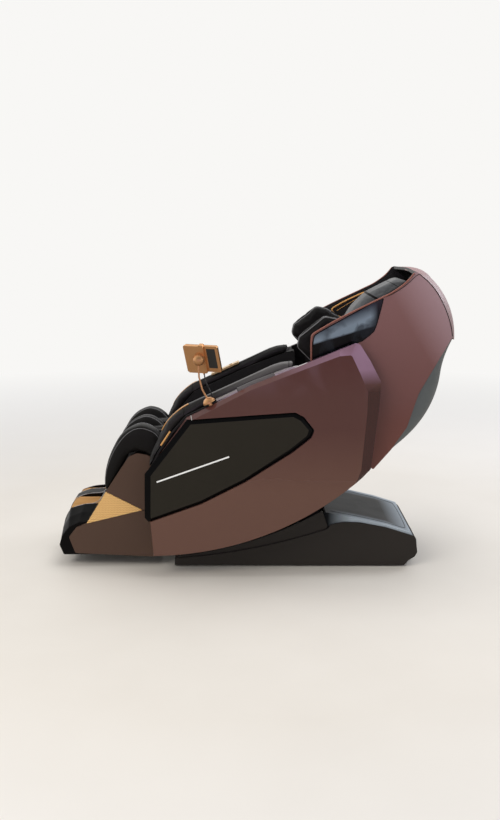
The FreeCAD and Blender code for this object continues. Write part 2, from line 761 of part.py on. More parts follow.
def makeCable():
    # Out of the holder's lower edge, down with a little slack, and into the stalk's dome.
    start = glandPoint() + CABLE_EXIT * 7.2
    points = [tuple(start), tuple(start + CABLE_EXIT * 17), (-205, -345, 804), (-192, -355, 779), (-181, -361, 760),
              (-177, -363, 744)]
    route(points, size("cableRadius"), "tablet_cable")


# Backrest: its own frame has X up the back (U), Y across and Z forwards (W), from the rear tip

BACK = FreeCAD.Placement(V(size("backTipX"), 0, size("backTipZ")),
                         FreeCAD.Rotation(V(0, 1, 0), -size("backLean")))


def backPoint(place):
    # A side view point (X, Z) in the back's own (U, W).
    local = BACK.inverse().multVec(V(place[0], 0, place[1]))
    return (local.x, local.z)


HIP_UW = backPoint(HIP)
RIM = [(267, 456), (356, 507, 12), (374, 502, 12), (479, 440), (631, 333), (670, 306, 60), (728, 280, 60),
       (781, 272, 12)]
SEAM = [(781, 249, 10), (773, 205, 20), (744, 137, 60), (709, 78, 60), (665, 26, 40), (630, 0, 20)]
REAR = [(367, 0, 80), (222, -31, 60), (107, -22, 40), (0, 0, 6)]
FRONT = [(14, 53), (108, 232), (198, 397)]
WINDOW = [(284, 459), (357, 493, 8), (374, 490, 8), (625, 333, 4), (625, 325, 4), (534, 299, 20), (495, 291, 20),
          (440, 312, 30), (270, 452)]


def makeBackSide():
    body = newBody("back_side_left", BACK)
    flare = size("backFlare")
    pad(body, outline(RIM + SEAM + REAR + FRONT), "Dims.backInner", "Dims.backPlate", flare=flare)
    pocket(body, outline(WINDOW), size("backInner") + size("backPlate") - 3, 10, flare=flare)
    keep(body)
    mirrored("back_side_right", body)
    panes = newBody("window_near", BACK)
    pad(panes, inset(WINDOW, 0.4), size("backInner") + size("backPlate") - 2.9, 3.6, flare=flare)
    other = doc.addObject("Part::Mirroring", "window_far")
    other.Source = panes
    other.Normal = V(0, 1, 0)
    group("back_windows", [panes, other])


def shellSection(outer, thickness, center):
    # A closed band: the outer points, and the same points moved towards the centre.
    inner = []
    for u, w in outer:
        step = V(center[0] - u, center[1] - w, 0)
        step.normalize()
        inner.append((u + step.x * thickness, w + step.y * thickness))
    a, b, c, d, e = outer
    f, g, h, i, j = inner[::-1]
    return outline([a, ("via",) + b, c, ("via",) + d, e, f, ("via",) + g, h, ("via",) + i, j])


TOP_EDGE = [(781, 268), (780, 236), (773, 205), (711, 81), (630, -1)]
TOP_QUARTER = [(786, 262), (803, 222), (796, 171), (738, 52), (624, -37)]
TOP_MIDDLE = [(790, 259), (809, 220), (803, 168), (742, 48), (624, -38)]
REAR_EDGE = [(627, -3), (560, -4), (480, -2), (300, -12), (104, -22)]
REAR_QUARTER = [(618, -24), (550, -34), (470, -60), (290, -90), (112, -46)]
REAR_MIDDLE = [(618, -30), (550, -42), (470, -70), (290, -102), (116, -58)]


def makeBackPanels():
    top = newBody("back_top_panel", BACK)
    center = (540, 230)
    flare = size("backFlare")
    levels = [(-277, TOP_EDGE, -flare), (-150, TOP_QUARTER, 0), (0, TOP_MIDDLE, 0), (150, TOP_QUARTER, 0),
              (277, TOP_EDGE, flare)]
    loft(top, [(start, shellSection(line, 12, center)) for start, line, flare in levels],
         flares=[flare for start, line, flare in levels])
    keep(top)
    rear = newBody("back_rear_cover", BACK)
    center = (360, 900)
    levels = [(-277, REAR_EDGE, -flare), (-190, REAR_QUARTER, 0), (0, REAR_MIDDLE, 0), (190, REAR_QUARTER, 0),
              (277, REAR_EDGE, flare)]
    loft(rear, [(start, shellSection(line, 8, center)) for start, line, flare in levels],
         flares=[flare for start, line, flare in levels])
    keep(rear)


def makeLining():
    body = newBody("lining_near", BACK)
    side = [(200, 300), (205, 392), (272, 448), (357, 500, 10), (372, 495, 10), (478, 434), (630, 327),
            (669, 300, 60), (727, 272, 30), (748, 262), (738, 210, 20), (690, 180, 20), (420, 180), (300, 200)]
    start = size("backInner") - size("liningThickness") - 0.2
    pad(body, outline(side), start, "Dims.liningThickness", flare=size("backFlare"))
    other = doc.addObject("Part::Mirroring", "lining_far")
    other.Source = body
    other.Normal = V(0, 1, 0)
    group("back_lining", [body, other])


RAIL_W = (126, 160)
CARRIAGE_U = 300


def makeBackFrame():
    body = newBody("back_frame", BACK)
    inner = size("backFrameInner")
    band = [(HIP_UW[0] - 8, HIP_UW[1] - 26), (-94, 122, 40), (45, 84, 40), (700, 84), (700, 136), (70, 136, 40),
            (-66, 164, 40), (HIP_UW[0] + 12, HIP_UW[1] + 25)]
    for start in (inner, -size("backFrameOuter")):
        pad(body, outline(band), start, "Dims.backFrameOuter - Dims.backFrameInner")
        pad(body, circle(HIP_UW, 28), start, "Dims.backFrameOuter - Dims.backFrameInner")
    for center in ((60, 110), (400, 110), (686, 110)):
        pad(body, circle(center, size("tubeRadius")), -287, 574)
    pad(body, circle(HIP_UW, 16), -inner - 1, 2 * inner + 2)
    rail = [(50, RAIL_W[0] - 12), (694, RAIL_W[0] - 12), (694, RAIL_W[1]), (50, RAIL_W[1])]
    for start in (100, -106):
        pad(body, outline(rail), start, 6)
    eye = backPoint(RECLINE_EYE)
    crank = [(HIP_UW[0] - 14, HIP_UW[1] + 10), (eye[0] - 12, eye[1] + 6), (eye[0] + 12, eye[1] - 8),
             (HIP_UW[0] + 14, HIP_UW[1] - 12)]
    for start in (10, -16):
        pad(body, outline(crank), start, 6)
        pad(body, circle(eye, 14), start, 6)
    for start in (200, -240):
        pocket(body, circle(HIP_UW, size("hipPinRadius") + size("pinClearance")), start, 40)
    return keep(body)


def makeMassage():
    body = newBody("massage_carriage", BACK)
    low, high = RAIL_W
    cheek = [(CARRIAGE_U - 55, low + 3), (CARRIAGE_U + 20, low + 3), (CARRIAGE_U + 20, high + 6, 8),
             (CARRIAGE_U - 20, high + 6, 8), (CARRIAGE_U - 55, low + 18)]
    for start in (84, -97):
        pad(body, outline(cheek), start, 13)
    bar = [(CARRIAGE_U - 55, low + 3), (CARRIAGE_U - 37, low + 3), (CARRIAGE_U - 37, low + 14),
           (CARRIAGE_U - 55, low + 14)]
    pad(body, outline(bar), -96, 192)
    axle = (CARRIAGE_U, 156)
    pocket(body, circle(axle, 6 + size("pinClearance")), -100, 200)
    keep(body)
    rollers = newBody("kneading_rollers", BACK)
    pad(rollers, circle(axle, 6), -92, 184)
    for side in (1, -1):
        center = (axle[0], axle[1] + 3 * side)
        pad(rollers, circle(center, 22), 42 if side > 0 else -66, 24)
        pad(rollers, circle(axle, 10), 66 if side > 0 else -74, 8)
    keep(rollers)


def makeBackCushion():
    body = newBody("back_cushion", BACK)
    under = [(735, 196), (0, 190), (-104, 212)]
    over = [(-122, 250, 18), (-96, 290, 20), (60, 300, 200), (430, 296, 200), (520, 284, 200), (640, 254, 100),
            (730, 222, 10)]
    levels = [(-244, 46), (-236, 24), (-190, 6), (-126, 0), (-120, 16), (-114, 0), (0, 4),
              (114, 0), (120, 16), (126, 0), (190, 6), (236, 24), (244, 46)]
    sections = []
    for start, drop in levels:
        top = []
        for u, w, r in over:
            share = drop if w > 225 else 0
            top.append((u, w - share * (w - 190) / 110, r))
        sections.append((start, outline(under + top)))
    loft(body, sections, ruled=True)
    return keep(body)


def makeHeadPillow():
    body = newBody("head_pillow", BACK)
    under = [(738, 228), (640, 262), (520, 292), (446, 303)]
    over = [(438, 340, 14), (452, 388, 26), (534, 384, 120), (609, 358, 120), (722, 280, 40), (744, 252, 5)]
    levels = [(-112, 46), (-104, 20), (-70, 6), (0, 0), (70, 6), (104, 20), (112, 46)]
    sections = []
    for start, drop in levels:
        top = []
        for u, w, r in over:
            depth = max(w - (300 - (u - 440) * 0.25), 0)
            top.append((u, w - drop * min(depth / 80, 1), r))
        sections.append((start, outline(under + top)))
    loft(body, sections, ruled=True)
    return keep(body)


def makeWing():
    body = newBody("shoulder_wing_left", BACK)
    shape = [(270, 350, 10), (262, 450, 20), (283, 528, 22), (326, 542, 22), (452, 492, 22), (469, 440, 22),
             (462, 350, 10)]
    middle = (366, 440)
    levels = [(232, 0.82), (238, 0.93), (252, 0.99), (286, 1), (292, 0.98)]
    sections = []
    for start, share in levels:
        corners = []
        for u, w, r in shape:
            corners.append((middle[0] + (u - middle[0]) * share, middle[1] + (w - middle[1]) * share, r * share))
        sections.append((start, outline(corners)))
    loft(body, sections, ruled=True)
    keep(body)
    return mirrored("shoulder_wing_right", body)


# Leg rest: calf unit turning about the knee, with the foot unit sliding out of it

CALF_DIRECTION = V(-0.4436, 0, -0.8962)
SPLIT = ((-632.5, 326.7), (-478.3, 247))
SPLIT_SLOPE = (SPLIT[1][1] - SPLIT[0][1]) / (SPLIT[1][0] - SPLIT[0][0])


def splitZ(x, gap):
    # Height of the line between the calf unit and the foot unit, plus a gap.
    return SPLIT[0][1] + SPLIT_SLOPE * (x - SPLIT[0][0]) + gap


PANEL_TOP = [(-631.5, splitZ(-631.5, 2)), (-547.8, 455.3), (-531.4, 477.8, 20), (-498.7, 491.1, 30), (-455.9, 483.9),
             (-410.9, 458.4)]
LEG_REAR = -399.7


def makeCalfPads():
    under = [(-411.9, 460.4), (-455.9, 486), (-498.7, 493.1, 30), (-532.4, 479.8, 20), (-549.3, 456.3),
             (-634.5, splitZ(-634.5, 2))]
    over = [(-645.8, splitZ(-645.8, 2)), (-649.9, 371.6), ("via", -629.4, 456.4), (-593.7, 529.9),
            ("via", -544.7, 588.1), (-486.5, 614.6), ("via", -420.1, 593.2), (-382.3, 542.1), (-374.2, 501.3),
            (-393.6, 452.3)]

    def section(shrink):
        moved = []
        for point in over:
            tag, x, z = point if point[0] == "via" else (None,) + point
            step = V(KNEE[0] - x, KNEE[1] - z - 40, 0)
            step.normalize()
            shift = shrink if z > 400 else shrink * (z > splitZ(x, 10))
            place = (x + step.x * shift, z + step.y * shift)
            moved.append((tag,) + place if tag else place)
        return outline(under + moved)

    inner, outer = size("ridgeInner"), size("calfHalf")
    body = newBody("calf_pad_left")
    levels = [(inner, 12), (inner + 8, 3), (inner + 30, 0), (outer - 30, 0), (outer - 8, 3), (outer, 10)]
    loft(body, [(start, section(shrink)) for start, shrink in levels], ruled=True)
    keep(body)
    mirrored("calf_pad_right", body)
    half = size("middleHalf")
    middle = newBody("calf_pad_middle")
    levels = [(-half, 14), (-half + 8, 4), (0, 0), (half - 8, 4), (half, 14)]
    loft(middle, [(start, section(shrink)) for start, shrink in levels], ruled=True)
    keep(middle)


def makeCalfLiners():
    radius, thickness = size("channelRadius"), size("linerThickness")
    liners = []
    for start in (38, -164):
        body = newBody("calf_liner")
        shape = [around(KNEE, radius, 106), ("via",) + around(KNEE, radius, 130), around(KNEE, radius, 165),
                 (-567.2, splitZ(-567.2, 2)), (-553.4, splitZ(-553.4, 2)), around(KNEE, radius - thickness, 165),
                 ("via",) + around(KNEE, radius - thickness, 130), around(KNEE, radius - thickness, 106)]
        pad(body, outline(shape), start, 126)
        liners.append(body)
    return group("calf_liners", liners)


def makeCalfFrame():
    body = newBody("calf_frame_body")
    wide = [(-552.4, splitZ(-552.4, 2)), (-524.3, 470.7), (-515.1, 451.3), (-411.9, 447.2),
            (LEG_REAR, splitZ(LEG_REAR, 2))]
    half = size("calfCoreHalf")
    pad(body, outline(wide), "-Dims.calfCoreHalf", "2 * Dims.calfCoreHalf")
    hollow = [(-540.6, splitZ(-540.6, 10)), (-516.1, 442.1), (-387.4, 438), (-387.4, splitZ(-387.4, 10))]
    pocket(body, outline(hollow), -half + 8, 2 * half - 16)
    ridge = [(-629.4, splitZ(-629.4, 2)), (-546.7, 454.3), (-530.4, 475.8, 20), (-498.7, 489, 30), (-456.9, 481.9),
             (-411.9, 457.4), (-411.9, 440), (-515.1, 440), (-545.7, splitZ(-545.7, 2))]
    for start, length in ((168, half - 168), (-half, half - 168), (-34, 68)):
        pad(body, outline(ridge), start, length)
    lug = [(-510, 448), (-510, 493), (-469, 493), (-461, 448)]
    for start in (78, 117, -85, -124):
        pad(body, outline(lug), start, 7)
        pad(body, circle(KNEE, 20), start, 7)
    for start in (70, -130):
        pocket(body, circle(KNEE, size("kneePinRadius") + size("pinClearance")), start, 60)
    holes = []
    for y in (-90, 90):
        foot = V(-510, y, splitZ(-510, 0))
        holes.append(rod("guide_hole", tuple(foot + CALF_DIRECTION * 20), tuple(foot - CALF_DIRECTION * 40), 10.1))
    return keep(cutFrom("calf_frame", body, fused("guide_holes", holes)), "calf_frame")


def makeCalfPanels():
    panels = []
    shape = PANEL_TOP + [(LEG_REAR, splitZ(LEG_REAR, 2))]
    outer = size("sidePlateOuter")
    for start in (242.2, -outer):
        body = newBody("calf_panel")
        pad(body, outline(shape), start, outer - 242.2)
        panels.append(body)
    return group("calf_panels", panels)


FOOT_ROLLER = (-706, 79)
FOOT_EDGE = [(-715, 191), (-750, 190, 10), (-794, 168, 20), (-826, 128, 20)]
FOOT_SHOULDER = [(-697, 222), (-743, 224, 10), (-796, 203, 20), (-824, 160, 20)]
FOOT_DOME = [(-678, 253), (-735, 250, 10), (-797, 232, 20), (-822, 185, 20)]
FOOT_MIDDLE = [(-670, 266), (-738, 266, 10), (-797, 243, 20), (-824, 190, 20)]


def makeFootUnit():
    half = size("footHalf")
    body = newBody("foot_shell_body")
    sections = []
    for start, top in ((-half, FOOT_EDGE), (-200, FOOT_SHOULDER), (-160, FOOT_DOME), (-40, FOOT_MIDDLE),
                       (40, FOOT_MIDDLE), (160, FOOT_DOME), (200, FOOT_SHOULDER), (half, FOOT_EDGE)):
        side = [(-633.5, splitZ(-633.5, -1))] + top + [(-836, 91, 8), (-819, 49, 8), (-404, 49, 10),
                                                       (LEG_REAR, splitZ(LEG_REAR, -1))]
        sections.append((start, outline(side)))
    loft(body, sections, ruled=True)
    well = [(-559, 322.6), (-588.6, 174.5), (-599.8, 101, 16), (-637.6, 84.7, 30), (-795.9, 86.7, 20),
            (-822.4, 123.5), (-877.6, 164.3), (-877.6, 399.2), (-559, 399.2)]
    for start in (40, -160):
        pocket(body, outline(well), start, 120)
        pocket(body, circle(FOOT_ROLLER, 20.5), start + 8, 104)
    rear = [(-377.2, 62.3), (-583.5, 62.3, 10), (-573.3, 154.2), (-555.9, splitZ(-555.9, -14)),
            (-377.2, splitZ(-377.2, -14))]
    pocket(body, outline(rear), -half + 10, 2 * half - 20)
    pod = [(-567, 60), (-814, 60, 6), (-825, 92, 6), (-816, 124, 14), (-788, 153, 14), (-749, 176, 6), (-709, 180),
           (-623, splitZ(-623, -14)), (-567, splitZ(-567, -14))]
    for start, length in ((-32, 64), (168, half - 178), (10 - half, half - 178)):
        pocket(body, outline(pod), start, length)
    pocket(body, circle(FOOT_ROLLER, 5.05), -167, 334)
    guides = []
    for y in (-90, 90):
        foot = V(-510, y, splitZ(-510, 0))
        guides.append(rod("guide", tuple(foot + CALF_DIRECTION * 8), tuple(foot - CALF_DIRECTION * 150), 10))
    keep(fused("foot_shell", [body] + guides), "foot_shell")
    roller = newBody("foot_rollers")
    pad(roller, circle(FOOT_ROLLER, 5), -166, 332)
    for start in (50, -150):
        pad(roller, circle(FOOT_ROLLER, size("footRollerRadius")), start, 100)
    keep(roller)


def makeFootPanels():
    panels = []
    inserts = []
    panel = [(-717.3, 187.8), (-478.3, 246.2), (-457.9, splitZ(-457.9, -1)), (LEG_REAR, splitZ(LEG_REAR, -1)),
             (LEG_REAR, 50), (-438.5, 43.8), (-767.3, 59.1, 10), (-792.8, 129.6, 16), (-761.2, 169.4, 10)]
    insert = [(-632.5, splitZ(-632.5, -1)), (-716.2, 189), (-482.4, 246.6), (-483.4, splitZ(-483.4, -1))]
    outer = size("sidePlateOuter")
    for start in (236.2, -outer):
        body = newBody("foot_panel")
        pad(body, outline(panel), start, outer - 236.2)
        panels.append(body)
        gold = newBody("foot_insert")
        pad(gold, outline(insert), start, outer - 236.2)
        inserts.append(gold)
    group("foot_panels", panels)
    group("foot_gold_inserts", inserts)


def build():
    makeBasePan()
    makeRearWheels()
    makeBaseSkirt()
    makeFrontCover()
    makeRearCover()
    makeFeet()
    makeSlideActuator()
    makePower()
    makeCarriage()
    makeTiltActuator()
    makeSeatFrame()
    makePivotPins()
    makeLegMotor()
    makeReclineActuator()
    makeSeatCushion()
    makeArmShell()
    makeSidePanel()
    makeLightStrips()
    makeArmCore()
    makeArmPad()
    makeKeys()
    makeStalk()
    makeTablet()
    makeCable()
    makeBackSide()
    makeBackPanels()
    makeLining()
    makeBackFrame()
    makeMassage()
    makeBackCushion()
    makeHeadPillow()
    makeWing()
    makeCalfFrame()
    makeCalfPads()
    makeCalfLiners()
    makeCalfPanels()
    makeFootUnit()
    makeFootPanels()


def writeParts():
    doc.recompute()
    for thing in doc.Objects:
        if "Invalid" in thing.State or "Error" in thing.State:
            raise RuntimeError("%s (%s) is in state %s" % (thing.Name, thing.Label, thing.State))
    os.makedirs("parts", exist_ok=True)
    for node in nodes:
        shape = node.Shape
        if shape.isNull() or not shape.isValid() or shape.Volume <= 0:
            raise RuntimeError("%s has no valid shape" % node.Label)
        shape.exportStep("parts/%s.step" % node.Label)
        box = shape.BoundBox
        print("%-22s %2d solids %10.1f cm3  x %7.1f %7.1f  y %7.1f %7.1f  z %7.1f %7.1f" % (
            node.Label, len(shape.Solids), shape.Volume / 1000, box.XMin, box.XMax, box.YMin, box.YMax,
            box.ZMin, box.ZMax))


build()
writeParts()
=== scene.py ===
import math
import re
import time

import bmesh
import bpy
import numpy as np
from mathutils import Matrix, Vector
from mathutils.bvhtree import BVHTree


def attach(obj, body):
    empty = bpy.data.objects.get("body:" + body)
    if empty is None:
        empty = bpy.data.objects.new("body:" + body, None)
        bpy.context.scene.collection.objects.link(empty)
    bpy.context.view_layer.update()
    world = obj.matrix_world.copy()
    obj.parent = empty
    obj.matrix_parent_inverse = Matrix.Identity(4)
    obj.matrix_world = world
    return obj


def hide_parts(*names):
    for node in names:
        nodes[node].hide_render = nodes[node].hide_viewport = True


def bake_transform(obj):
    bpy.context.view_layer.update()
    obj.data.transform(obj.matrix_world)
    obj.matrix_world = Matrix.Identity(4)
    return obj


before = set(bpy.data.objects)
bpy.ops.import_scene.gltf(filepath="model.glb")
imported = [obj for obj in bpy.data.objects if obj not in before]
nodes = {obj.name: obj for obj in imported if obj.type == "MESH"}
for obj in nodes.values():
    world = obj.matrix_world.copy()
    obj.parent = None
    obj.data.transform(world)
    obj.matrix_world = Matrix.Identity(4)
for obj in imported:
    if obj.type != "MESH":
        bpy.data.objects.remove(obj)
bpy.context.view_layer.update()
scene = bpy.context.scene
started = time.time()
bothSides = ((-1, "Left"), (1, "Right"))

# The back's own frame: U runs up the back and W forwards from the origin. Its side plates flare out by
# the flare for each unit forwards.
backOrigin = (0.479, 0, 0.432)
backLean = math.radians(60.6)
backUp = (math.cos(backLean), 0, math.sin(backLean))
backForward = (-math.sin(backLean), 0, math.cos(backLean))
plateFlare = 0.0945


def report(stage):
    print("%s, %.0f s" % (stage, time.time() - started))


# colours and shader helpers

def tint(paintedShadeRed, green, blue):
    # Screen values of 0 to 255 turned into linear light by the sRGB curve.
    levels = np.array([paintedShadeRed, green, blue]) / 255
    linear = np.where(levels <= 0.04045, levels / 12.92, ((levels + 0.055) / 1.055) ** 2.4)
    return (*[float(level) for level in linear], 1.0)


def scaled(color, factor):
    return (*[min(level * factor, 1.0) for level in color[:3]], 1.0)


def feed(tree, node, values):
    # Each input of a node given a value or joined to a socket.
    for key, value in values.items():
        if isinstance(value, bpy.types.NodeSocket):
            tree.links.new(value, node.inputs[key])
        else:
            node.inputs[key].default_value = value


def put(tree, kind, values=None, **settings):
    # A new shader node with its attributes set and its inputs fed.
    made = tree.nodes.new(kind if kind.startswith("Node") else "ShaderNode" + kind)
    for key, value in settings.items():
        setattr(made, key, value)
    feed(tree, made, values or {})
    return made


def math2(tree, operation, a, b=0.0):
    return put(tree, "Math", {0: a, 1: b}, operation=operation).outputs[0]


def product(tree, a, b):
    return math2(tree, "MULTIPLY", a, b)


def less(tree, a, b):
    return math2(tree, "LESS_THAN", a, b)


def mixColor(tree, factor, a, b):
    return put(tree, "Mix", {0: factor, 6: a, 7: b}, data_type="RGBA").outputs[2]


def mixValue(tree, factor, a, b):
    return put(tree, "Mix", {0: factor, 2: a, 3: b}, data_type="FLOAT").outputs[0]


def mixShader(tree, factor, a, b):
    return put(tree, "MixShader", {0: factor, 1: a.outputs[0], 2: b.outputs[0]})


def ranged(tree, value, low, high, first=0.0, last=1.0):
    return put(tree, "MapRange", {"Value": value, "From Min": low, "From Max": high, "To Min": first,
                                  "To Max": last}).outputs[0]


def noise(tree, place, cells, detail=3.0, distortion=0.0):
    return put(tree, "TexNoise", {"Vector": place, "Scale": cells, "Detail": detail,
                                  "Distortion": distortion}).outputs[0]


def space(tree, socket="Object"):
    return put(tree, "TexCoord").outputs[socket]


def axis(tree, name, socket="Object"):
    return put(tree, "SeparateXYZ", {0: space(tree, socket)}).outputs[name]


def between(tree, name, limits, socket="Object"):
    # Goes from 0 to 1 between two places along an axis.
    return ranged(tree, axis(tree, name, socket), *limits)


def sideways(tree, socket="Object"):
    return math2(tree, "ABSOLUTE", axis(tree, "Y", socket))


def fromPoint(tree, point, socket="Object"):
    return put(tree, "VectorMath", {0: space(tree, socket), 1: point}, operation="SUBTRACT").outputs[0]


def dotted(tree, a, b):
    return put(tree, "VectorMath", {0: a, 1: b}, operation="DOT_PRODUCT").outputs["Value"]


def pastPlane(tree, point, normal, soft, socket="Object"):
    # Rises from 0 to 1 past a plane, over a soft distance.
    return ranged(tree, dotted(tree, fromPoint(tree, point, socket), normal), 0.0, soft)


# surface effects: each is a shader group of the place and a number of cells a metre

def molded(group, place, cells):
    # Fine even pits of moulded plastic or powder coat, and a slow drift of tone.
    return {"Height": noise(group, place, cells, 2.0), "Tone": noise(group, place, 5.0, 2.0)}


def leather(group, place, cells):
    # Rounded pebbles from the distance to a Voronoi cell's edge, crossed by soft stretch wrinkles.
    edges = put(group, "TexVoronoi", {"Vector": place, "Scale": cells}, feature="DISTANCE_TO_EDGE")
    pebble = ranged(group, edges.outputs["Distance"], 0.0, 0.35)
    wrinkle = noise(group, place, math2(group, "DIVIDE", cells, 24.0), 4.0, 1.2)
    height = math2(group, "ADD", product(group, pebble, 0.45), product(group, wrinkle, 1.1))
    return {"Height": height, "Tone": noise(group, place, 9.0)}


def brushed(group, place, cells):
    # Long fine scratches: noise squeezed across one direction.
    squeezed = put(group, "Mapping", {"Vector": place, "Scale": (1.0, 1.0, 30.0)}).outputs[0]
    return {"Height": noise(group, squeezed, cells, 2.0), "Tone": noise(group, place, 14.0, 2.0)}


def wave(group, place, cells):
    # Woven waves: a ridge repeats up the cloth, and its line swings to and fro along X.
    split = put(group, "SeparateXYZ", {0: place})
    swing = math2(group, "PINGPONG", product(group, split.outputs["X"], cells), 0.5)
    climb = product(group, split.outputs["Z"], product(group, cells, 1.25))
    rows = math2(group, "ADD", climb, product(group, swing, 1.1))
    ridge = product(group, math2(group, "PINGPONG", rows, 0.5), 2.0)
    threads = noise(group, place, product(group, cells, 8.0), 2.0)
    height = math2(group, "ADD", ridge, product(group, threads, 0.35))
    return {"Height": height, "Tone": ranged(group, ridge, 0.1, 0.9)}


def smears(group, place, cells):
    # Broad soft patches where hands and cloths have left the surface duller.
    return {"Mask": ranged(group, noise(group, place, cells, 4.0, 0.8), 0.42, 0.72)}


def dust(group, place, cells):
    # Dust lies on faces that look up, in uneven patches.
    upward = ranged(group, axis(group, "Z", "Normal"), 0.25, 1.0)
    patches = ranged(group, noise(group, place, cells, 5.0, 0.4), 0.35, 0.75)
    return {"Mask": product(group, upward, patches)}


def newGroup(name, build):
    # The group's outputs are what its effect gives by name.
    group = bpy.data.node_groups.new(name, "ShaderNodeTree")
    group.interface.new_socket("Vector", in_out="INPUT", socket_type="NodeSocketVector")
    group.interface.new_socket("Cells", in_out="INPUT", socket_type="NodeSocketFloat")
    given = group.nodes.new("NodeGroupInput")
    made = build(group, given.outputs["Vector"], given.outputs["Cells"])
    for title in made:
        group.interface.new_socket(title, in_out="OUTPUT", socket_type="NodeSocketFloat")
    feed(group, group.nodes.new("NodeGroupOutput"), made)
    return group


effects = {"molded": newGroup("moldedTexture", molded), "leather": newGroup("leatherGrain", leather),
           "brushed": newGroup("brushedMetal", brushed), "wave": newGroup("wavyCloth", wave),
           "smears": newGroup("handlingSmears", smears), "dust": newGroup("settledDust", dust)}


def putEffect(tree, name, place, cells):
    made = tree.nodes.new("ShaderNodeGroup")
    made.node_tree = effects[name]
    feed(tree, made, {"Vector": place, "Cells": cells})
    return made.outputs


# Each finish: colour, roughness, and its effect's kind, cells a metre and depth in metres. What a finish
# leaves out is as in plain.
plain = dict(kind="molded", depth=0.00002, shift=0.05, smear=0.05, dust=0.0, edge=0.0, metal=0.0, coat=0.0,
             ior=1.5, sheen=0.0)
finishes = {
    "shellLacquer": dict(color=(84, 50, 46), rough=0.16, coat=0.7, cells=900, shift=0.04, smear=0.03,
        dust=0.02, edge=0.0015),
    "shellMatte": dict(color=(108, 66, 61), rough=0.42, cells=700, depth=0.00001, shift=0.04, dust=0.02),
    "sidePanel": dict(color=(44, 41, 34), rough=0.42, ior=1.25, cells=800, shift=0.06, dust=0.01,
        edge=0.001),
    "lightCover": dict(color=(214, 214, 212), rough=0.3, cells=300, depth=0.00001, shift=0.02, smear=0.02),
    "baseDark": dict(color=(46, 42, 38), rough=0.42, ior=1.4, cells=1100, depth=0.00006, shift=0.08,
        smear=0.08, dust=0.08, edge=0.005),
    "baseGloss": dict(color=(24, 26, 29), rough=0.34, ior=1.12, cells=800, depth=0.00003, shift=0.04,
        dust=0.06, edge=0.0015),
    "rearGrey": dict(color=(92, 98, 100), rough=0.36, cells=1000, depth=0.00005, shift=0.06, smear=0.06,
        dust=0.04, edge=0.0015),
    "frameSteel": dict(color=(32, 32, 34), rough=0.42, cells=500, depth=0.00008, shift=0.10, smear=0.08,
        dust=0.15, edge=0.0008),
    "brightSteel": dict(color=(196, 196, 200), rough=0.22, metal=1.0, kind="brushed", cells=260,
        smear=0.12),
    "sheetSteel": dict(color=(92, 94, 96), rough=0.45, cells=420, depth=0.00008, shift=0.06, smear=0.10,
        dust=0.15, edge=0.0008),
    "rubber": dict(color=(26, 26, 26), rough=0.75, cells=900, depth=0.00010, shift=0.15, smear=0.08,
        dust=0.20, edge=0.001),
    "leatherBlack": dict(color=(24, 23, 23), rough=0.46, ior=1.28, kind="leather", cells=520, depth=0.00024,
        shift=0.15, smear=0.12, dust=0.02),
    "leatherGrey": dict(color=(66, 67, 69), rough=0.34, kind="leather", cells=620, depth=0.00012,
        shift=0.10, smear=0.12, dust=0.02),
    "leatherCharcoal": dict(color=(24, 23, 22), rough=0.46, ior=1.28, kind="leather", cells=620,
        depth=0.00016, shift=0.12, smear=0.12, dust=0.02),
    "armTop": dict(color=(72, 69, 69), rough=0.34, kind="leather", cells=620, depth=0.00012, shift=0.10,
        smear=0.12, dust=0.02),
    "innerDark": dict(color=(27, 26, 26), rough=0.55, kind="leather", cells=700, depth=0.0001, shift=0.12,
        smear=0.08, dust=0.05, edge=0.001),
    "legBrown": dict(color=(86, 65, 53), rough=0.46, ior=1.4, cells=900, depth=0.00004, smear=0.06,
        dust=0.02, edge=0.0012),
    "goldCloth": dict(color=(248, 184, 116), rough=0.5, sheen=0.1, kind="wave", cells=80, depth=0.0008,
        shift=0.36),
    "footGloss": dict(color=(7, 7, 8), rough=0.07, ior=1.36, cells=600, shift=0.08, dust=0.03, edge=0.0015),
    # The window's pale colour is the streak of a painted reflection.
    "window": dict(color=(120, 134, 148), rough=0.10, ior=1.3, cells=300, depth=0.00001, shift=0.10,
        smear=0.06),
    "roseGold": dict(color=(232, 176, 124), rough=0.30, metal=0.85, cells=500, smear=0.10, edge=0.0006),
    "goldKeys": dict(color=(222, 188, 140), rough=0.3, metal=0.6, cells=500, shift=0.04, smear=0.06,
        edge=0.0006),
    "motorBlack": dict(color=(24, 24, 25), rough=0.48, cells=800, depth=0.00008, shift=0.12, smear=0.08,
        dust=0.12, edge=0.0008),
    "silverTrim": dict(color=(205, 203, 200), rough=0.2, metal=0.7, cells=500, smear=0.08, edge=0.0006),
    # The grey of the seams and piping on the black leather is a painted highlight of the light along them.
    "seamHighlight": dict(color=(104, 103, 105), rough=0.42, kind="brushed", cells=1500, depth=0.0001,
        shift=0.2),
    "ribGrey": dict(color=(128, 128, 126), rough=0.35, metal=0.4, cells=600, depth=0.00005, shift=0.10),
    "rimBrown": dict(color=(136, 84, 72), rough=0.4, cells=700, depth=0.00003, shift=0.06),
    "shellSeam": dict(color=(34, 24, 24), rough=0.6, kind="brushed", cells=1500, depth=0.0001, shift=0.2),
    "goldPiping": dict(color=(230, 172, 104), rough=0.30, metal=0.35, kind="brushed", cells=900,
        depth=0.00006, shift=0.1, smear=0.08),
    "plainInset": dict(color=(44, 44, 42), rough=0.5, cells=900, depth=0.00003, shift=0.08),
}
wear = dict(smearCells=8.0, dustCells=22.0, dustColor=tint(150, 142, 134), dustRough=0.9)
black = (24, 23, 23)


def newMaterial(name):
    material = bpy.data.materials.new(name)
    material.use_nodes = True
    return material, material.node_tree


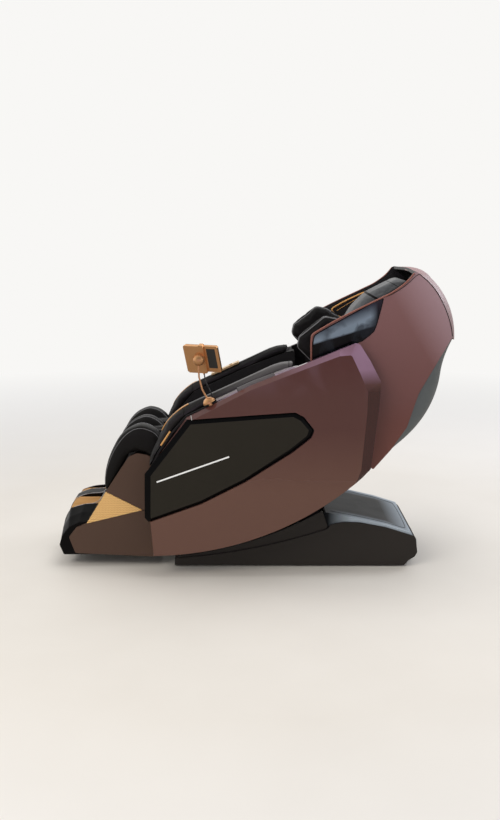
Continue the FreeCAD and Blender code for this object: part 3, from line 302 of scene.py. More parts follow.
def makeFinish(name, spec):
    # Tone varies the colour, smears raise the roughness, dust lightens faces that look up,
    # and the effect's height feeds a bump laid over a slightly rounded edge.
    spec = {**plain, **spec}
    material, tree = newMaterial(name)
    place = space(tree)
    detail = putEffect(tree, spec["kind"], place, spec["cells"])
    color = tint(*spec["color"])
    base = mixColor(tree, detail["Tone"], scaled(color, 1 - spec["shift"]), scaled(color, 1 + spec["shift"]))
    smeared = putEffect(tree, "smears", place, wear["smearCells"])["Mask"]
    rough = ranged(tree, smeared, 0.0, 1.0, spec["rough"], spec["rough"] + spec["smear"])
    if spec["dust"]:
        cover = product(tree, putEffect(tree, "dust", place, wear["dustCells"])["Mask"], spec["dust"])
        base = mixColor(tree, cover, base, wear["dustColor"])
        rough = mixValue(tree, cover, rough, wear["dustRough"])
    bump = put(tree, "Bump", {"Height": detail["Height"], "Distance": spec["depth"]})
    if spec["edge"]:
        rounding = put(tree, "Bevel", {"Radius": spec["edge"]}, samples=4)
        feed(tree, bump, {"Normal": rounding.outputs[0]})
    feed(tree, tree.nodes["Principled BSDF"], {
        "Base Color": base, "Roughness": rough, "Normal": bump.outputs[0], "Metallic": spec["metal"],
        "Coat Weight": spec["coat"], "Coat Roughness": 0.04, "IOR": spec["ior"]})
    if spec["sheen"]:
        feed(tree, tree.nodes["Principled BSDF"], {"Sheen Weight": spec["sheen"], "Sheen Roughness": 0.4})
    return material


finishes["plateMatte"] = {**finishes["shellMatte"], "edge": 0.002}
finishes["footShell"] = {**finishes["footGloss"], "ior": 1.28, "edge": 0.010}
finishes["tabletBody"] = finishes["roseGold"]
materials = {name: makeFinish(name, spec) for name, spec in finishes.items()}


def remix(tree, mask, color=None, rough=None, metal=None):
    # Where the mask is 1, the finish changes to another colour, roughness and metal.
    inputs = tree.nodes["Principled BSDF"].inputs
    if color:
        old = inputs["Base Color"].links[0].from_socket
        tree.links.new(mixColor(tree, mask, old, tint(*color)), inputs["Base Color"])
    if rough is not None:
        old = inputs["Roughness"].links[0].from_socket
        tree.links.new(mixValue(tree, mask, old, rough), inputs["Roughness"])
    if metal is not None:
        old = inputs["Metallic"].default_value
        tree.links.new(mixValue(tree, mask, old, metal), inputs["Metallic"])


# what changes colour across one finish, by place and by facing, painted highlights, shade and reflections
# among it

rearFacing = (0.85, 0, 0.52)
# Painted highlights along the rear edge of the hood and its plates.
hoodEdgeHighlights = {
    "shellMatte": dict(start=1.16, soft=0.10, share=0.5, color=(150, 120, 124)),
    "plateMatte": dict(start=1.06, soft=0.19, share=0.6, color=(190, 164, 174)),
}


lacquer = dict(down=(0.62, 0.36), brown=(104, 71, 59), brownRough=0.30)
# The rear bevel's painted light: a lilac highlight high up and dark red shade low down.
bevelPaintedLight = dict(facing=(0.75, 0, 0.66), soft=0.8, length=(0.05, 0.42), high=(0.80, 0.86), paintedLilacHighlight=(206, 166, 206),
             turned=(0.12, 0.3), low=(0.80, 0.77), end=(0.30, 0.42), paintedShadeRed=(62, 30, 28), rough=0.2)


def tintLacquer(tree):
    # The shell browns towards the floor. Its rear bevel has a painted lilac highlight above and painted dark
    # red shade below.
    remix(tree, between(tree, "Z", lacquer["down"]), lacquer["brown"], lacquer["brownRough"])
    facing = pastPlane(tree, (0, 0, 0), bevelPaintedLight["facing"], bevelPaintedLight["soft"], "Normal")
    rear = product(tree, between(tree, "X", bevelPaintedLight["length"]), between(tree, "Z", bevelPaintedLight["high"]))
    # Painted lilac highlight on the upper rear bevel.
    remix(tree, product(tree, facing, rear), bevelPaintedLight["paintedLilacHighlight"], bevelPaintedLight["rough"])
    turned = product(tree, between(tree, "X", bevelPaintedLight["turned"], "Normal"), between(tree, "Z", bevelPaintedLight["low"]))
    # Painted dark red shade on the lower rear bevel.
    remix(tree, product(tree, turned, between(tree, "X", bevelPaintedLight["end"])), bevelPaintedLight["paintedShadeRed"], bevelPaintedLight["rough"])


# Painted light on the hood: paler high up, and painted darker red shade low down.
hoodPaintedLightTones = [dict(limits=(0.62, 1.22), color=(136, 98, 98)), dict(limits=(0.72, 0.50), color=(118, 68, 57))]
hoodPaintedLightShare = 0.8


def paintHoodLight(tree, spec):
    # The hood and its plates are paler towards the top and the rear edge and redder low down: painted
    # highlights above and along the rear edge, painted shade low down.
    for tone in hoodPaintedLightTones:
        remix(tree, product(tree, between(tree, "Z", tone["limits"]), hoodPaintedLightShare), tone["color"])
    start = tuple(spec["start"] * part for part in rearFacing)
    remix(tree, product(tree, pastPlane(tree, start, rearFacing, spec["soft"]), spec["share"]), spec["color"])


hollow = dict(middle=(0.5437, 0, 1.0154), rough=0.5, plateInner=0.2895, lowEdge=(-0.843, 0, -0.538),
              lowStart=0.75, lowSoft=0.1, shellTurn=-0.1, shell=(20, 19, 19), shellRough=0.4)


def blackenHood(tree):
    # The hood's inner faces are black.
    outward = dotted(tree, fromPoint(tree, hollow["middle"]), space(tree, "Normal"))
    remix(tree, less(tree, outward, 0.0), black, hollow["rough"])


def blackenShell(tree):
    # The arm shells' inner faces are black.
    turned = product(tree, axis(tree, "Y"), axis(tree, "Y", "Normal"))
    remix(tree, less(tree, turned, hollow["shellTurn"]), hollow["shell"], hollow["shellRough"])


def blackenPlate(tree):
    # The inner part and the low edge of each side plate are black.
    flare = product(tree, dotted(tree, fromPoint(tree, backOrigin), backForward), plateFlare)
    away = math2(tree, "SUBTRACT", sideways(tree), flare)
    remix(tree, less(tree, away, hollow["plateInner"]), black, hollow["rough"])
    start = tuple(hollow["lowStart"] * part for part in hollow["lowEdge"])
    low = pastPlane(tree, start, hollow["lowEdge"], hollow["lowSoft"], "Normal")
    remix(tree, low, black, hollow["rough"])


armPads = dict(seam=0.285, front=-0.296, rear=0.128, rough=0.44)
armFront = dict(limits=(-0.02, -0.22), color=(30, 28, 28), rough=0.4)


def tintArmTop(tree):
    # The arm pads are black inside their long seam and at the front.
    inside = less(tree, sideways(tree), armPads["seam"])
    front = less(tree, axis(tree, "X"), armPads["front"])
    remix(tree, math2(tree, "MAXIMUM", inside, front), black, armPads["rough"])
    remix(tree, between(tree, "X", armFront["limits"]), armFront["color"], armFront["rough"])


wells = dict(inner=0.0392, outer=0.1608, top=0.253, fall=0.10, turn=0.9, upward=(0.5, 0.9), upwardRough=0.5,
             gold=(236, 188, 126), rough=0.3, metal=0.1)
worn = dict(stretch=(1, 1, 9), cells=9.0, limits=(0.5, 0.75), share=0.35, color=(150, 98, 56))


def tintWells(tree):
    # Worn gold on the foot wells' side walls, below a black margin. Faces that look up are duller.
    away = sideways(tree)
    wall = math2(tree, "GREATER_THAN", sideways(tree, "Normal"), wells["turn"])
    past = math2(tree, "GREATER_THAN", away, wells["inner"])
    inside = product(tree, past, less(tree, away, wells["outer"]))
    top = math2(tree, "SUBTRACT", wells["top"], product(tree, away, wells["fall"]))
    mask = product(tree, product(tree, wall, inside), less(tree, axis(tree, "Z"), top))
    stretched = put(tree, "Mapping", {"Vector": space(tree), "Scale": worn["stretch"]}).outputs[0]
    streaks = ranged(tree, noise(tree, stretched, worn["cells"]), *worn["limits"])
    remix(tree, between(tree, "Z", wells["upward"], "Normal"), None, wells["upwardRough"])
    remix(tree, mask, wells["gold"], wells["rough"], wells["metal"])
    remix(tree, product(tree, product(tree, mask, streaks), worn["share"]), worn["color"])


# A painted highlight: the pale band along the rim of the base's rear cover.
baseRimHighlight = dict(side=(0.165, 0.243), rear=(0.560, 0.665), front=(0.30, 0.40), share=0.75,
               color=(196, 208, 218), rough=0.3)


def paintBaseRimHighlight(tree):
    # The rear cover of the base has a painted pale highlight along its rim and is dark inside.
    side = ranged(tree, sideways(tree), *baseRimHighlight["side"])
    rear = between(tree, "X", baseRimHighlight["rear"])
    front = between(tree, "X", baseRimHighlight["front"])
    rim = product(tree, math2(tree, "MAXIMUM", side, rear), front)
    remix(tree, product(tree, rim, baseRimHighlight["share"]), baseRimHighlight["color"], baseRimHighlight["rough"])


# The painted reflection on the window: each shade darkens the pane past a plane.
paintedWindowReflection = [
    dict(point=(0.35, 0, 1.020), slope=(-0.40, 0, 0.917), soft=0.040, color=(40, 48, 58)),
    dict(point=(0.35, 0, 0.998), slope=(0.28, 0, -0.96), soft=0.008, color=(9, 10, 12)),
    dict(point=(0.452, 0, 1.0), slope=(1, 0, 0), soft=0.03, color=(12, 13, 16)),
]
windowRough = 0.08
# Drifting darker patches of the painted reflection.
reflectionClouds = dict(cells=14.0, detail=2.0, bend=0.6, limits=(0.45, 0.65), share=0.75, color=(30, 34, 40))


def paintWindowReflection(tree):
    # A painted reflection on the dark pane: a pale streak crosses it, above it the glass dims, below and at
    # the rear it is black, and soft darker patches drift over it.
    for shade in paintedWindowReflection:
        past = pastPlane(tree, shade["point"], shade["slope"], shade["soft"])
        remix(tree, past, shade["color"], windowRough)
    drift = noise(tree, space(tree), reflectionClouds["cells"], reflectionClouds["detail"], reflectionClouds["bend"])
    remix(tree, product(tree, ranged(tree, drift, *reflectionClouds["limits"]), reflectionClouds["share"]), reflectionClouds["color"])


tablet = dict(ball=(-0.234, -0.348, 0.893), yaw=67.6, lean=23.4, screen=0.0325, screenSoft=0.0001,
              glass=(9, 9, 11), rough=0.06, metal=0.0)


def tabletAxes():
    # Across, through and up the tablet: a turn about Z, then a lean about the line across.
    yaw, lean = math.radians(tablet["yaw"]), math.radians(tablet["lean"])
    through = Vector((math.cos(yaw), math.sin(yaw), 0))
    across = Vector((through.y, -through.x, 0))
    up = Vector((0, 0, 1))
    sine, cosine = math.sin(lean), math.cos(lean)
    return across, through * cosine + up * sine, up * cosine - through * sine


acrossTablet, throughTablet, upTablet = tabletAxes()


def onTablet(x, y, z):
    # A point in the tablet's own frame, from the middle of the ball, in metres.
    return tuple(Vector(tablet["ball"]) + acrossTablet * x + throughTablet * y + upTablet * z)


def tintTablet(tree):
    # Everything past the screen's plane is dark glass.
    screen = onTablet(0, tablet["screen"], 0)
    past = pastPlane(tree, screen, tuple(throughTablet), tablet["screenSoft"])
    remix(tree, past, tablet["glass"], tablet["rough"], tablet["metal"])


panelEdge = dict(turn=0.97, color=(8, 8, 9), rough=0.06)
lightCover = dict(color=(250, 250, 248), strength=0.22)


def tintAll():
    trees = {name: material.node_tree for name, material in materials.items()}
    panel = trees["sidePanel"]
    edge = less(panel, sideways(panel, "Normal"), panelEdge["turn"])
    remix(panel, edge, panelEdge["color"], panelEdge["rough"])
    tintLacquer(trees["shellLacquer"])
    for name, spec in hoodEdgeHighlights.items():
        paintHoodLight(trees[name], spec)
    blackenHood(trees["shellMatte"])
    blackenShell(trees["shellLacquer"])
    blackenPlate(trees["plateMatte"])
    tintArmTop(trees["armTop"])
    tintWells(trees["footShell"])
    tintTablet(trees["tabletBody"])
    paintWindowReflection(trees["window"])
    paintBaseRimHighlight(trees["baseGloss"])
    light = trees["lightCover"]
    feed(light, light.nodes["Principled BSDF"],
         {"Emission Color": tint(*lightCover["color"]), "Emission Strength": lightCover["strength"]})


tintAll()
report("finishes")

# the finish of every CAD piece that shows as it is
dress = {
    "sheetSteel": "base_pan massage_carriage",
    "baseDark": "base_skirt base_front_cover",
    "baseGloss": "base_rear_cover",
    "rubber": "base_feet rear_wheels foot_rollers",
    "motorBlack": "slide_actuator_tube power_unit power_inlet tilt_actuator_tube pivot_pins "
        "leg_lift_motor recline_actuator_tube kneading_rollers",
    "footGloss": "power_rocker",
    "frameSteel": "carriage_frame seat_frame back_frame",
    "brightSteel": "slide_actuator_rod tilt_actuator_rod recline_actuator_rod",
    "shellLacquer": "arm_shell_left arm_shell_right",
    "sidePanel": "side_panel_left side_panel_right",
    "lightCover": "light_strips",
    "innerDark": "arm_core_left arm_core_right back_lining calf_frame",
    "goldKeys": "key_panel key_up key_down",
    "roseGold": "tablet_foot tablet_arm tablet_holder",
    "plateMatte": "back_side_left back_side_right",
    "window": "back_windows",
    "shellMatte": "back_top_panel",
    "rearGrey": "back_rear_cover",
    "legBrown": "calf_panels foot_panels",
    "footShell": "foot_shell",
    "goldCloth": "foot_gold_inserts",
    "tabletBody": "tablet",
}
for finishName, nodeNames in dress.items():
    for nodeName in nodeNames.split():
        for slot in nodes[nodeName].material_slots:
            slot.material = materials[finishName]


# surfaces and paths

def backPoint(u, w, y):
    # A point of the back's own frame, in millimetres, as one of the whole object's frame, in metres.
    return (backOrigin[0] + (u * backUp[0] + w * backForward[0]) / 1000, y / 1000,
            backOrigin[2] + (u * backUp[2] + w * backForward[2]) / 1000)


def flat(line, y=0.0):
    # The points (x, z) of a side view, on the upright plane at y.
    return [(x, y, z) for x, z in line]


def rounded(points, times=3, closed=False):
    # Corners cut at a quarter and three quarters of each run, several times over.
    path = np.array(points, float)
    for _ in range(times):
        ahead = np.roll(path, -1, axis=0) if closed else path[1:]
        here = path if closed else path[:-1]
        cut = np.stack([here * 0.75 + ahead * 0.25, here * 0.25 + ahead * 0.75], axis=1).reshape(-1, 3)
        path = cut if closed else np.vstack([path[:1], cut, path[-1:]])
    return path


def evenly(path, step, closed=False):
    # The same line with its points a fixed step apart.
    line = np.vstack([path, path[:1]]) if closed else path
    lengths = np.linalg.norm(np.diff(line, axis=0), axis=1)
    along = np.concatenate([[0], np.cumsum(lengths)])
    count = max(int(along[-1] / step), 3)
    places = np.linspace(0, along[-1], count + 1)
    even = np.stack([np.interp(places, along, line[:, axis]) for axis in range(3)], axis=1)
    return even[:-1] if closed else even


def eased(path, times, closed=False):
    # Each point moves halfway to the mean of its neighbours, several times over.
    line = path.copy()
    for _ in range(times):
        before, after = np.roll(line, 1, axis=0), np.roll(line, -1, axis=0)
        moved = line * 0.5 + (before + after) * 0.25
        if not closed:
            moved[0], moved[-1] = line[0], line[-1]
        line = moved
    return line


def linked(name, data):
    made = bpy.data.objects.new(name, data)
    scene.collection.objects.link(made)
    return made


def newPiece(name, points, faces, finish, body, smooth=True):
    mesh = bpy.data.meshes.new(name)
    mesh.from_pydata(np.asarray(points).tolist(), [], [list(face) for face in faces])
    mesh.validate()
    solid = bmesh.new()
    solid.from_mesh(mesh)
    bmesh.ops.recalc_face_normals(solid, faces=solid.faces[:])
    solid.to_mesh(mesh)
    solid.free()
    mesh.polygons.foreach_set("use_smooth", np.full(len(mesh.polygons), smooth))
    mesh.materials.append(materials[finish])
    piece = linked(name, mesh)
    if body:
        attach(piece, body)
    return piece


def gridFaces(rows, columns, ringRows, ringColumns):
    # Quads between neighbouring grid points, round again to the first where a direction is a ring.
    row = np.arange(rows if ringRows else rows - 1)[:, None]
    column = np.arange(columns if ringColumns else columns - 1)[None, :]
    nextRow, nextColumn = (row + 1) % rows, (column + 1) % columns
    corners = [row * columns + column, row * columns + nextColumn, nextRow * columns + nextColumn,
               nextRow * columns + column]
    shape = np.broadcast(row, column).shape
    return np.stack([np.broadcast_to(corner, shape).ravel() for corner in corners], axis=1)


def tubeFaces(rows, columns, closed=False):
    # The faces of rings joined in a row, with a cap at each end unless the row itself is a ring.
    faces = gridFaces(rows, columns, closed, True).tolist()
    last = (rows - 1) * columns
    return faces if closed else faces + [list(range(columns)), list(range(last + columns - 1, last - 1, -1))]


def sweep(path, profile, across, closed=False):
    # A closed profile carried along a path: each ring is the path's point, plus the profile's first
    # number times the direction square to the path and to the across line, plus its second times across.
    before, after = np.roll(path, 1, axis=0), np.roll(path, -1, axis=0)
    tangent = after - before
    if not closed:
        tangent[0], tangent[-1] = path[1] - path[0], path[-1] - path[-2]
    tangent /= np.linalg.norm(tangent, axis=1)[:, None]
    side = np.cross(tangent, np.broadcast_to(np.array(across, float), tangent.shape))
    side /= np.linalg.norm(side, axis=1)[:, None]
    other = np.cross(side, tangent)
    profile = np.array(profile, float)
    rings = (path[:, None, :] + profile[None, :, 0, None] * side[:, None, :]
             + profile[None, :, 1, None] * other[:, None, :])
    return rings.reshape(-1, 3), tubeFaces(len(path), len(profile), closed)


def rectangle(high, wide):
    return [(-high / 2, -wide / 2), (high / 2, -wide / 2), (high / 2, wide / 2), (-high / 2, wide / 2)]


def tube(name, path, radius, finish, body, across=(0, 1, 0), closed=False, sides=10):
    # A round cord or piping: a circle carried along the path.
    angles = np.linspace(0, 2 * math.pi, sides, endpoint=False)
    points, faces = sweep(path, np.stack([np.cos(angles), np.sin(angles)], axis=1) * radius, across, closed)
    return newPiece(name, points, faces, finish, body)


def joined(pieces, name):
    # Several meshes of one finish and body made one piece.
    bpy.ops.object.select_all(action="DESELECT")
    for piece in pieces:
        piece.select_set(True)
    bpy.context.view_layer.objects.active = pieces[0]
    bpy.ops.object.join()
    pieces[0].name = name
    pieces[0].data.name = name
    return pieces[0]


def coordinates(mesh, what="co"):
    values = np.empty(len(mesh.vertices) * 3, np.float32)
    mesh.vertices.foreach_get(what, values)
    return values.reshape(-1, 3).astype(float)


def setCoordinates(mesh, points):
    mesh.vertices.foreach_set("co", points.astype(np.float32).ravel())
    mesh.update()


def applied(piece):
    # The piece's mesh with its modifiers carried out.
    evaluated = piece.evaluated_get(bpy.context.evaluated_depsgraph_get())
    mesh = bpy.data.meshes.new_from_object(evaluated)
    piece.modifiers.clear()
    piece.data = mesh


def treeOf(mesh):
    faces = [tuple(face.vertices) for face in mesh.polygons]
    return BVHTree.FromPolygons([tuple(vertex.co) for vertex in mesh.vertices], faces)


def sliceLoop(piece, point, normal):
    # The longest ordered line where a plane cuts the piece.
    cut = bmesh.new()
    cut.from_mesh(piece.data)
    whole = cut.verts[:] + cut.edges[:] + cut.faces[:]
    made = bmesh.ops.bisect_plane(cut, geom=whole, plane_co=point, plane_no=normal)
    neighbours = {}
    for item in made["geom_cut"]:
        if isinstance(item, bmesh.types.BMEdge):
            a, b = item.verts
            neighbours.setdefault(a, []).append(b)
            neighbours.setdefault(b, []).append(a)
    best = []
    left = set(neighbours)
    while left:
        here = min(left, key=lambda v: v.index)
        line = []
        while here is not None:
            line.append(tuple(here.co))
            left.discard(here)
            here = next((v for v in neighbours[here] if v in left), None)
        if len(line) > len(best):
            best = line
    cut.free()
    return np.array(best)


# soft pieces: a copy of the CAD solid is remeshed, drawn in a little and blown up as cloth

blackPad = dict(body="calf_rest", slot="leather_black", finish="leatherBlack", fill=0.8)
armPad = dict(body="seat", slot="leather_charcoal", finish="armTop", voxel=0.005, draw=0.003, cap=0.007,
              fill=0.8)
wing = dict(blackPad, voxel=0.004, draw=0.002, cap=0.004)
calfPad = dict(blackPad, finish="leatherCharcoal", voxel=0.006, draw=0.004, cap=0.009)
cushions = {
    "seatCushion": dict(blackPad, body="seat", voxel=0.008, draw=0.006, cap=0.018),
    "backCushion": dict(blackPad, body="backrest", voxel=0.008, draw=0.006, cap=0.018),
    "headPillow": dict(body="pillow", slot="leather_grey", finish="leatherGrey", voxel=0.005, draw=0.005,
                       cap=0.012, fill=0.6),
    "armPadLeft": armPad,
    "armPadRight": armPad,
    "shoulderWingLeft": dict(wing, body="wing_left"),
    "shoulderWingRight": dict(wing, body="wing_right"),
    "calfPadLeft": calfPad,
    "calfPadMiddle": calfPad,
    "calfPadRight": calfPad,
    "calfLiners": dict(blackPad, voxel=0.005, draw=0.001, cap=0.003, fill=0.7),
}
cloth = dict(pressure=4.0, frames=20, quality=4, stiffness=18.0)


def nodeOf(name):
    # seatCushion stands for the node seat_cushion.
    return re.sub("([A-Z])", lambda found: "_" + found[1].lower(), name)


def startCushion(name, spec):
    # The CAD solid's copy, merged, voxel remeshed and drawn in along its normals.
    mesh = nodes[nodeOf(name)].data.copy()
    mesh.name = name
    solid = bmesh.new()
    solid.from_mesh(mesh)
    bmesh.ops.remove_doubles(solid, verts=solid.verts[:], dist=0.00002)
    solid.to_mesh(mesh)
    solid.free()
    piece = linked(name, mesh)
    remesh = piece.modifiers.new("remesh", "REMESH")
    remesh.mode = "VOXEL"
    remesh.voxel_size = spec["voxel"]
    applied(piece)
    points = coordinates(piece.data)
    setCoordinates(piece.data, points - coordinates(piece.data, "normal") * spec["draw"])
    piece.data.materials.clear()
    piece.data.materials.append(materials[spec["finish"]])
    return piece


def inflate(pieces):
    # All cushions swell together as cloth under pressure, then each point's way is capped.
    rests = {}
    for name, piece in pieces.items():
        rests[name] = coordinates(piece.data)
        fabric = piece.modifiers.new("cloth", "CLOTH")
        fabric.settings.quality = cloth["quality"]
        fabric.settings.use_pressure = True
        fabric.settings.uniform_pressure_force = cloth["pressure"]
        fabric.settings.tension_stiffness = cloth["stiffness"]
        fabric.settings.compression_stiffness = cloth["stiffness"]
        fabric.settings.effector_weights.gravity = 0.0
        fabric.point_cache.frame_end = cloth["frames"]
    for step in range(1, cloth["frames"] + 1):
        scene.frame_set(step)
    graph = bpy.context.evaluated_depsgraph_get()
    swollen = {name: coordinates(piece.evaluated_get(graph).data) for name, piece in pieces.items()}
    for name, piece in pieces.items():
        way = swollen[name] - rests[name]
        length = np.linalg.norm(way, axis=1)[:, None] + 1e-9
        cap = cushions[name]["cap"]
        piece.modifiers.clear()
        setCoordinates(piece.data, rests[name] + way * np.minimum(1, cap / length))
    scene.frame_set(1)


def smoothMesh(piece, times):
    # Blender's smooth, to lose the voxels' steps.
    smoother = piece.modifiers.new("smooth", "SMOOTH")
    smoother.factor = 0.5
    smoother.iterations = times
    applied(piece)


def sew(piece, distance, width, depth, facing):
    # A sewn groove: points sink against their normals by depth times a bell curve of their distance.
    points, normals = coordinates(piece.data), coordinates(piece.data, "normal")
    sink = depth * np.exp(-(distance(points) / width) ** 2)
    sink *= np.clip((normals @ np.array(facing, float)) * 2 - 0.2, 0, 1)
    setCoordinates(piece.data, points - normals * sink[:, None])


softPieces = {name: startCushion(name, spec) for name, spec in cushions.items()}
report("remeshed")
inflate(softPieces)
report("inflated")
for softName, softPiece in softPieces.items():
    smoothMesh(softPiece, 3)


def alongBack(points):
    # Metres up the back's own frame.
    return (points - np.array(backOrigin)) @ np.array(backUp)


def alongSeat(points):
    return points[:, 0]


def nearest(values, places):
    # Distance from each value to the closest of the places.
    return np.abs(values[:, None] - np.array(places)[None, :]).min(axis=1)


grooves = {
    "seatCushion": dict(sides=0.116, across=[-0.24, -0.13, -0.02, 0.09], along=alongSeat, facing=(0, 0, 1)),
    "backCushion": dict(sides=0.120, across=[0.04, 0.17, 0.30, 0.43], along=alongBack, facing=backForward),
}
grooveSize = dict(width=0.009, depth=0.010, acrossDepth=0.008)


def sewCushion(piece, spec):
    # Two long grooves, and cross grooves that run only between them.
    def longWays(points):
        return nearest(np.abs(points[:, 1]), [spec["sides"]])

    def crossWays(points):
        inside = np.abs(points[:, 1]) < spec["sides"]
        return np.where(inside, nearest(spec["along"](points), spec["across"]), 1.0)

    sew(piece, longWays, grooveSize["width"], grooveSize["depth"], spec["facing"])
    sew(piece, crossWays, grooveSize["width"], grooveSize["acrossDepth"], spec["facing"])


for softName, spec in grooves.items():
    sewCushion(softPieces[softName], spec)

for softName, softPiece in softPieces.items():
    spec = cushions[softName]
    softPiece.data.polygons.foreach_set("use_smooth", np.ones(len(softPiece.data.polygons), bool))
    finer = softPiece.modifiers.new("finer", "SUBSURF")
    finer.levels = finer.render_levels = 1
    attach(softPiece, spec["body"])
    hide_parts(nodeOf(softName))
report("cushions")


# piping, seams and straps on the soft pieces

lineStep = 0.004


def aroundPiece(piece, point, normal):
    # The closed line where a plane cuts a soft piece, with even steps.
    return eased(evenly(sliceLoop(piece, point, normal), lineStep, closed=True), 2, closed=True)


def piping(name, piece, planes, radius, finish, body):
    made = []
    for point, normal in planes:
        loop = aroundPiece(piece, point, normal)
        made.append(tube(name, loop, radius, finish, body, across=normal, closed=True,
                         sides=8))
    if len(made) > 1:
        joined(made, name)


def acrossY(places, side=1):
    return [((0, side * place, 0), (0, 1, 0)) for place in places]


# The wing, calf and middle pipings are grey as a painted highlight; the arm pipings are black.
wingPiping = dict(places=(0.284, 0.248), radius=0.0024)
armPiping = dict(places=(armPads["seam"],), ends=(armPads["front"], armPads["rear"]), radius=0.0015)
calfPiping = dict(places=(0.178,), radius=0.0018)
middlePiping = dict(places=(-0.024, 0.024), radius=0.0020)


def makePiping():
    for side, word in bothSides:
        piping("wingPiping" + word, softPieces["shoulderWing" + word], acrossY(wingPiping["places"], side),
               wingPiping["radius"], "seamHighlight", "wing_" + word.lower())
        seams = acrossY(armPiping["places"], side) + [((end, 0, 0), (1, 0, 0)) for end in armPiping["ends"]]
        piping("armPiping" + word, softPieces["armPad" + word], seams, armPiping["radius"], "leatherBlack",
               "seat")
        piping("calfPiping" + word, softPieces["calfPad" + word], acrossY(calfPiping["places"], side),
               calfPiping["radius"], "seamHighlight", "calf_rest")
    piping("calfPipingMiddle", softPieces["calfPadMiddle"], acrossY(middlePiping["places"]),
           middlePiping["radius"], "seamHighlight", "calf_rest")


# The side view of a calf pad. Its seam is the same line, moved in towards the knee.
calfSeam = dict(line=[(-0.6455, 0.350), (-0.6455, 0.385), (-0.6294, 0.4564), (-0.5937, 0.5299),
                (-0.5447, 0.5881), (-0.4865, 0.6146), (-0.4201, 0.5932), (-0.3823, 0.5421),
                (-0.3742, 0.5013)], knee=(-0.4895, 0.453), inset=0.013, step=0.005, radius=0.0014)


def makeCalfSeams():
    line = np.array(calfSeam["line"])
    step = np.array(calfSeam["knee"]) - line
    inner = line + step / np.linalg.norm(step, axis=1)[:, None] * calfSeam["inset"]
    path = evenly(rounded(flat(inner)), calfSeam["step"])
    for side, word in bothSides:
        tree = treeOf(softPieces["calfPad" + word].data)
        hits = [tree.ray_cast(Vector((x, side, z)), Vector((0, -side, 0)))[0] for x, _, z in path]
        seam = eased(np.array([tuple(hit) for hit in hits if hit is not None]), 3)
        tube("calfSeam" + word, seam, calfSeam["radius"], "seamHighlight", "calf_rest", sides=8)


pillowBands = {
    "pillowStrap": dict(place=611, width=0.013, thick=0.0024),
    "pillowSeam": dict(place=700, width=0.002, thick=0.0024),
}


def makePillowBands():
    # A flat strap round the pillow, and a seam above it.
    for name, spec in pillowBands.items():
        loop = aroundPiece(softPieces["headPillow"], backPoint(spec["place"], 0, 0), backUp)
        points, faces = sweep(loop, rectangle(spec["thick"], spec["width"]), backUp, closed=True)
        newPiece(name, points, faces, "leatherBlack", "pillow", smooth=False)


# The belt lies on the pad's cut at a place from the middle, above a line through its foot that is
# steeper in front of the foot than behind it.
armBelt = dict(place=0.308, foot=(-0.35, 0.5988), slope=1.140, frontSlope=1.49, lift=0.012, rear=-0.276,
               low=0.60, thick=0.0028, width=0.018)
armBead = dict(line=[(-0.389, 0.545), (-0.3705, 0.573), (-0.3505, 0.603)], place=0.3445, radius=0.0042)


def makeArmGold():
    # A gold belt over the arm pad's front, and a gold bead between the pad and the shell.
    for side, word in bothSides:
        loop = aroundPiece(softPieces["armPad" + word], (0, side * armBelt["place"], 0), (0, 1, 0))
        ahead = loop[:, 0] - armBelt["foot"][0]
        lower = armBelt["foot"][1] + ahead * np.where(ahead > 0, armBelt["slope"], armBelt["frontSlope"])
        above = (loop[:, 2] > lower + armBelt["lift"]) & (loop[:, 2] > armBelt["low"])
        front = loop[(loop[:, 0] < armBelt["rear"]) & above]
        front = front[np.argsort(front[:, 2])]
        points, faces = sweep(eased(front, 4), rectangle(armBelt["thick"], armBelt["width"]), (0, 1, 0))
        newPiece("armBelt" + word, points, faces, "goldPiping", "seat", smooth=False)
        bead = evenly(rounded(flat(armBead["line"], side * armBead["place"])), lineStep)
        tube("armBead" + word, bead, armBead["radius"], "goldPiping", "seat")


apron = dict(line=[(0.112, 0.446), (0.140, 0.440), (0.166, 0.432), (0.190, 0.446), (0.212, 0.474),
             (0.240, 0.520)], step=0.008, half=0.240, columns=81, thickness=0.004, fold=0.0022, every=0.048)


def makeApron():
    # The padded apron that closes the gap behind the seat: its folds are waves across a strip that is
    # carried from under the seat cushion's rear edge up into the back cushion.
    line = eased(evenly(rounded(flat(apron["line"])), apron["step"]), 2)
    places = np.linspace(-apron["half"], apron["half"], apron["columns"])
    folds = apron["fold"] * np.sin(places / apron["every"] * 2 * math.pi)
    top = np.stack([folds + apron["thickness"] / 2, places], axis=1)
    low = np.stack([folds - apron["thickness"] / 2, places], axis=1)[::-1]
    points, faces = sweep(line, np.vstack([top, low]), (0, 1, 0))
    piece = newPiece("waistApron", points, faces, "leatherBlack", None)
    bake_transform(piece)


gussets = {
    "backGusset": dict(line=[(2, 14), (30, 66), (110, 196), (204, 330)], inner=232, outer=279,
                       flare=plateFlare, thickness=4),
    "backFlap": dict(line=[(-7, 20), (6, 58), (100, 237), (128, 290)], inner=266, outer=338, flare=0.0,
                     thickness=4),
}
gussetGrid = dict(step=6, columns=9)


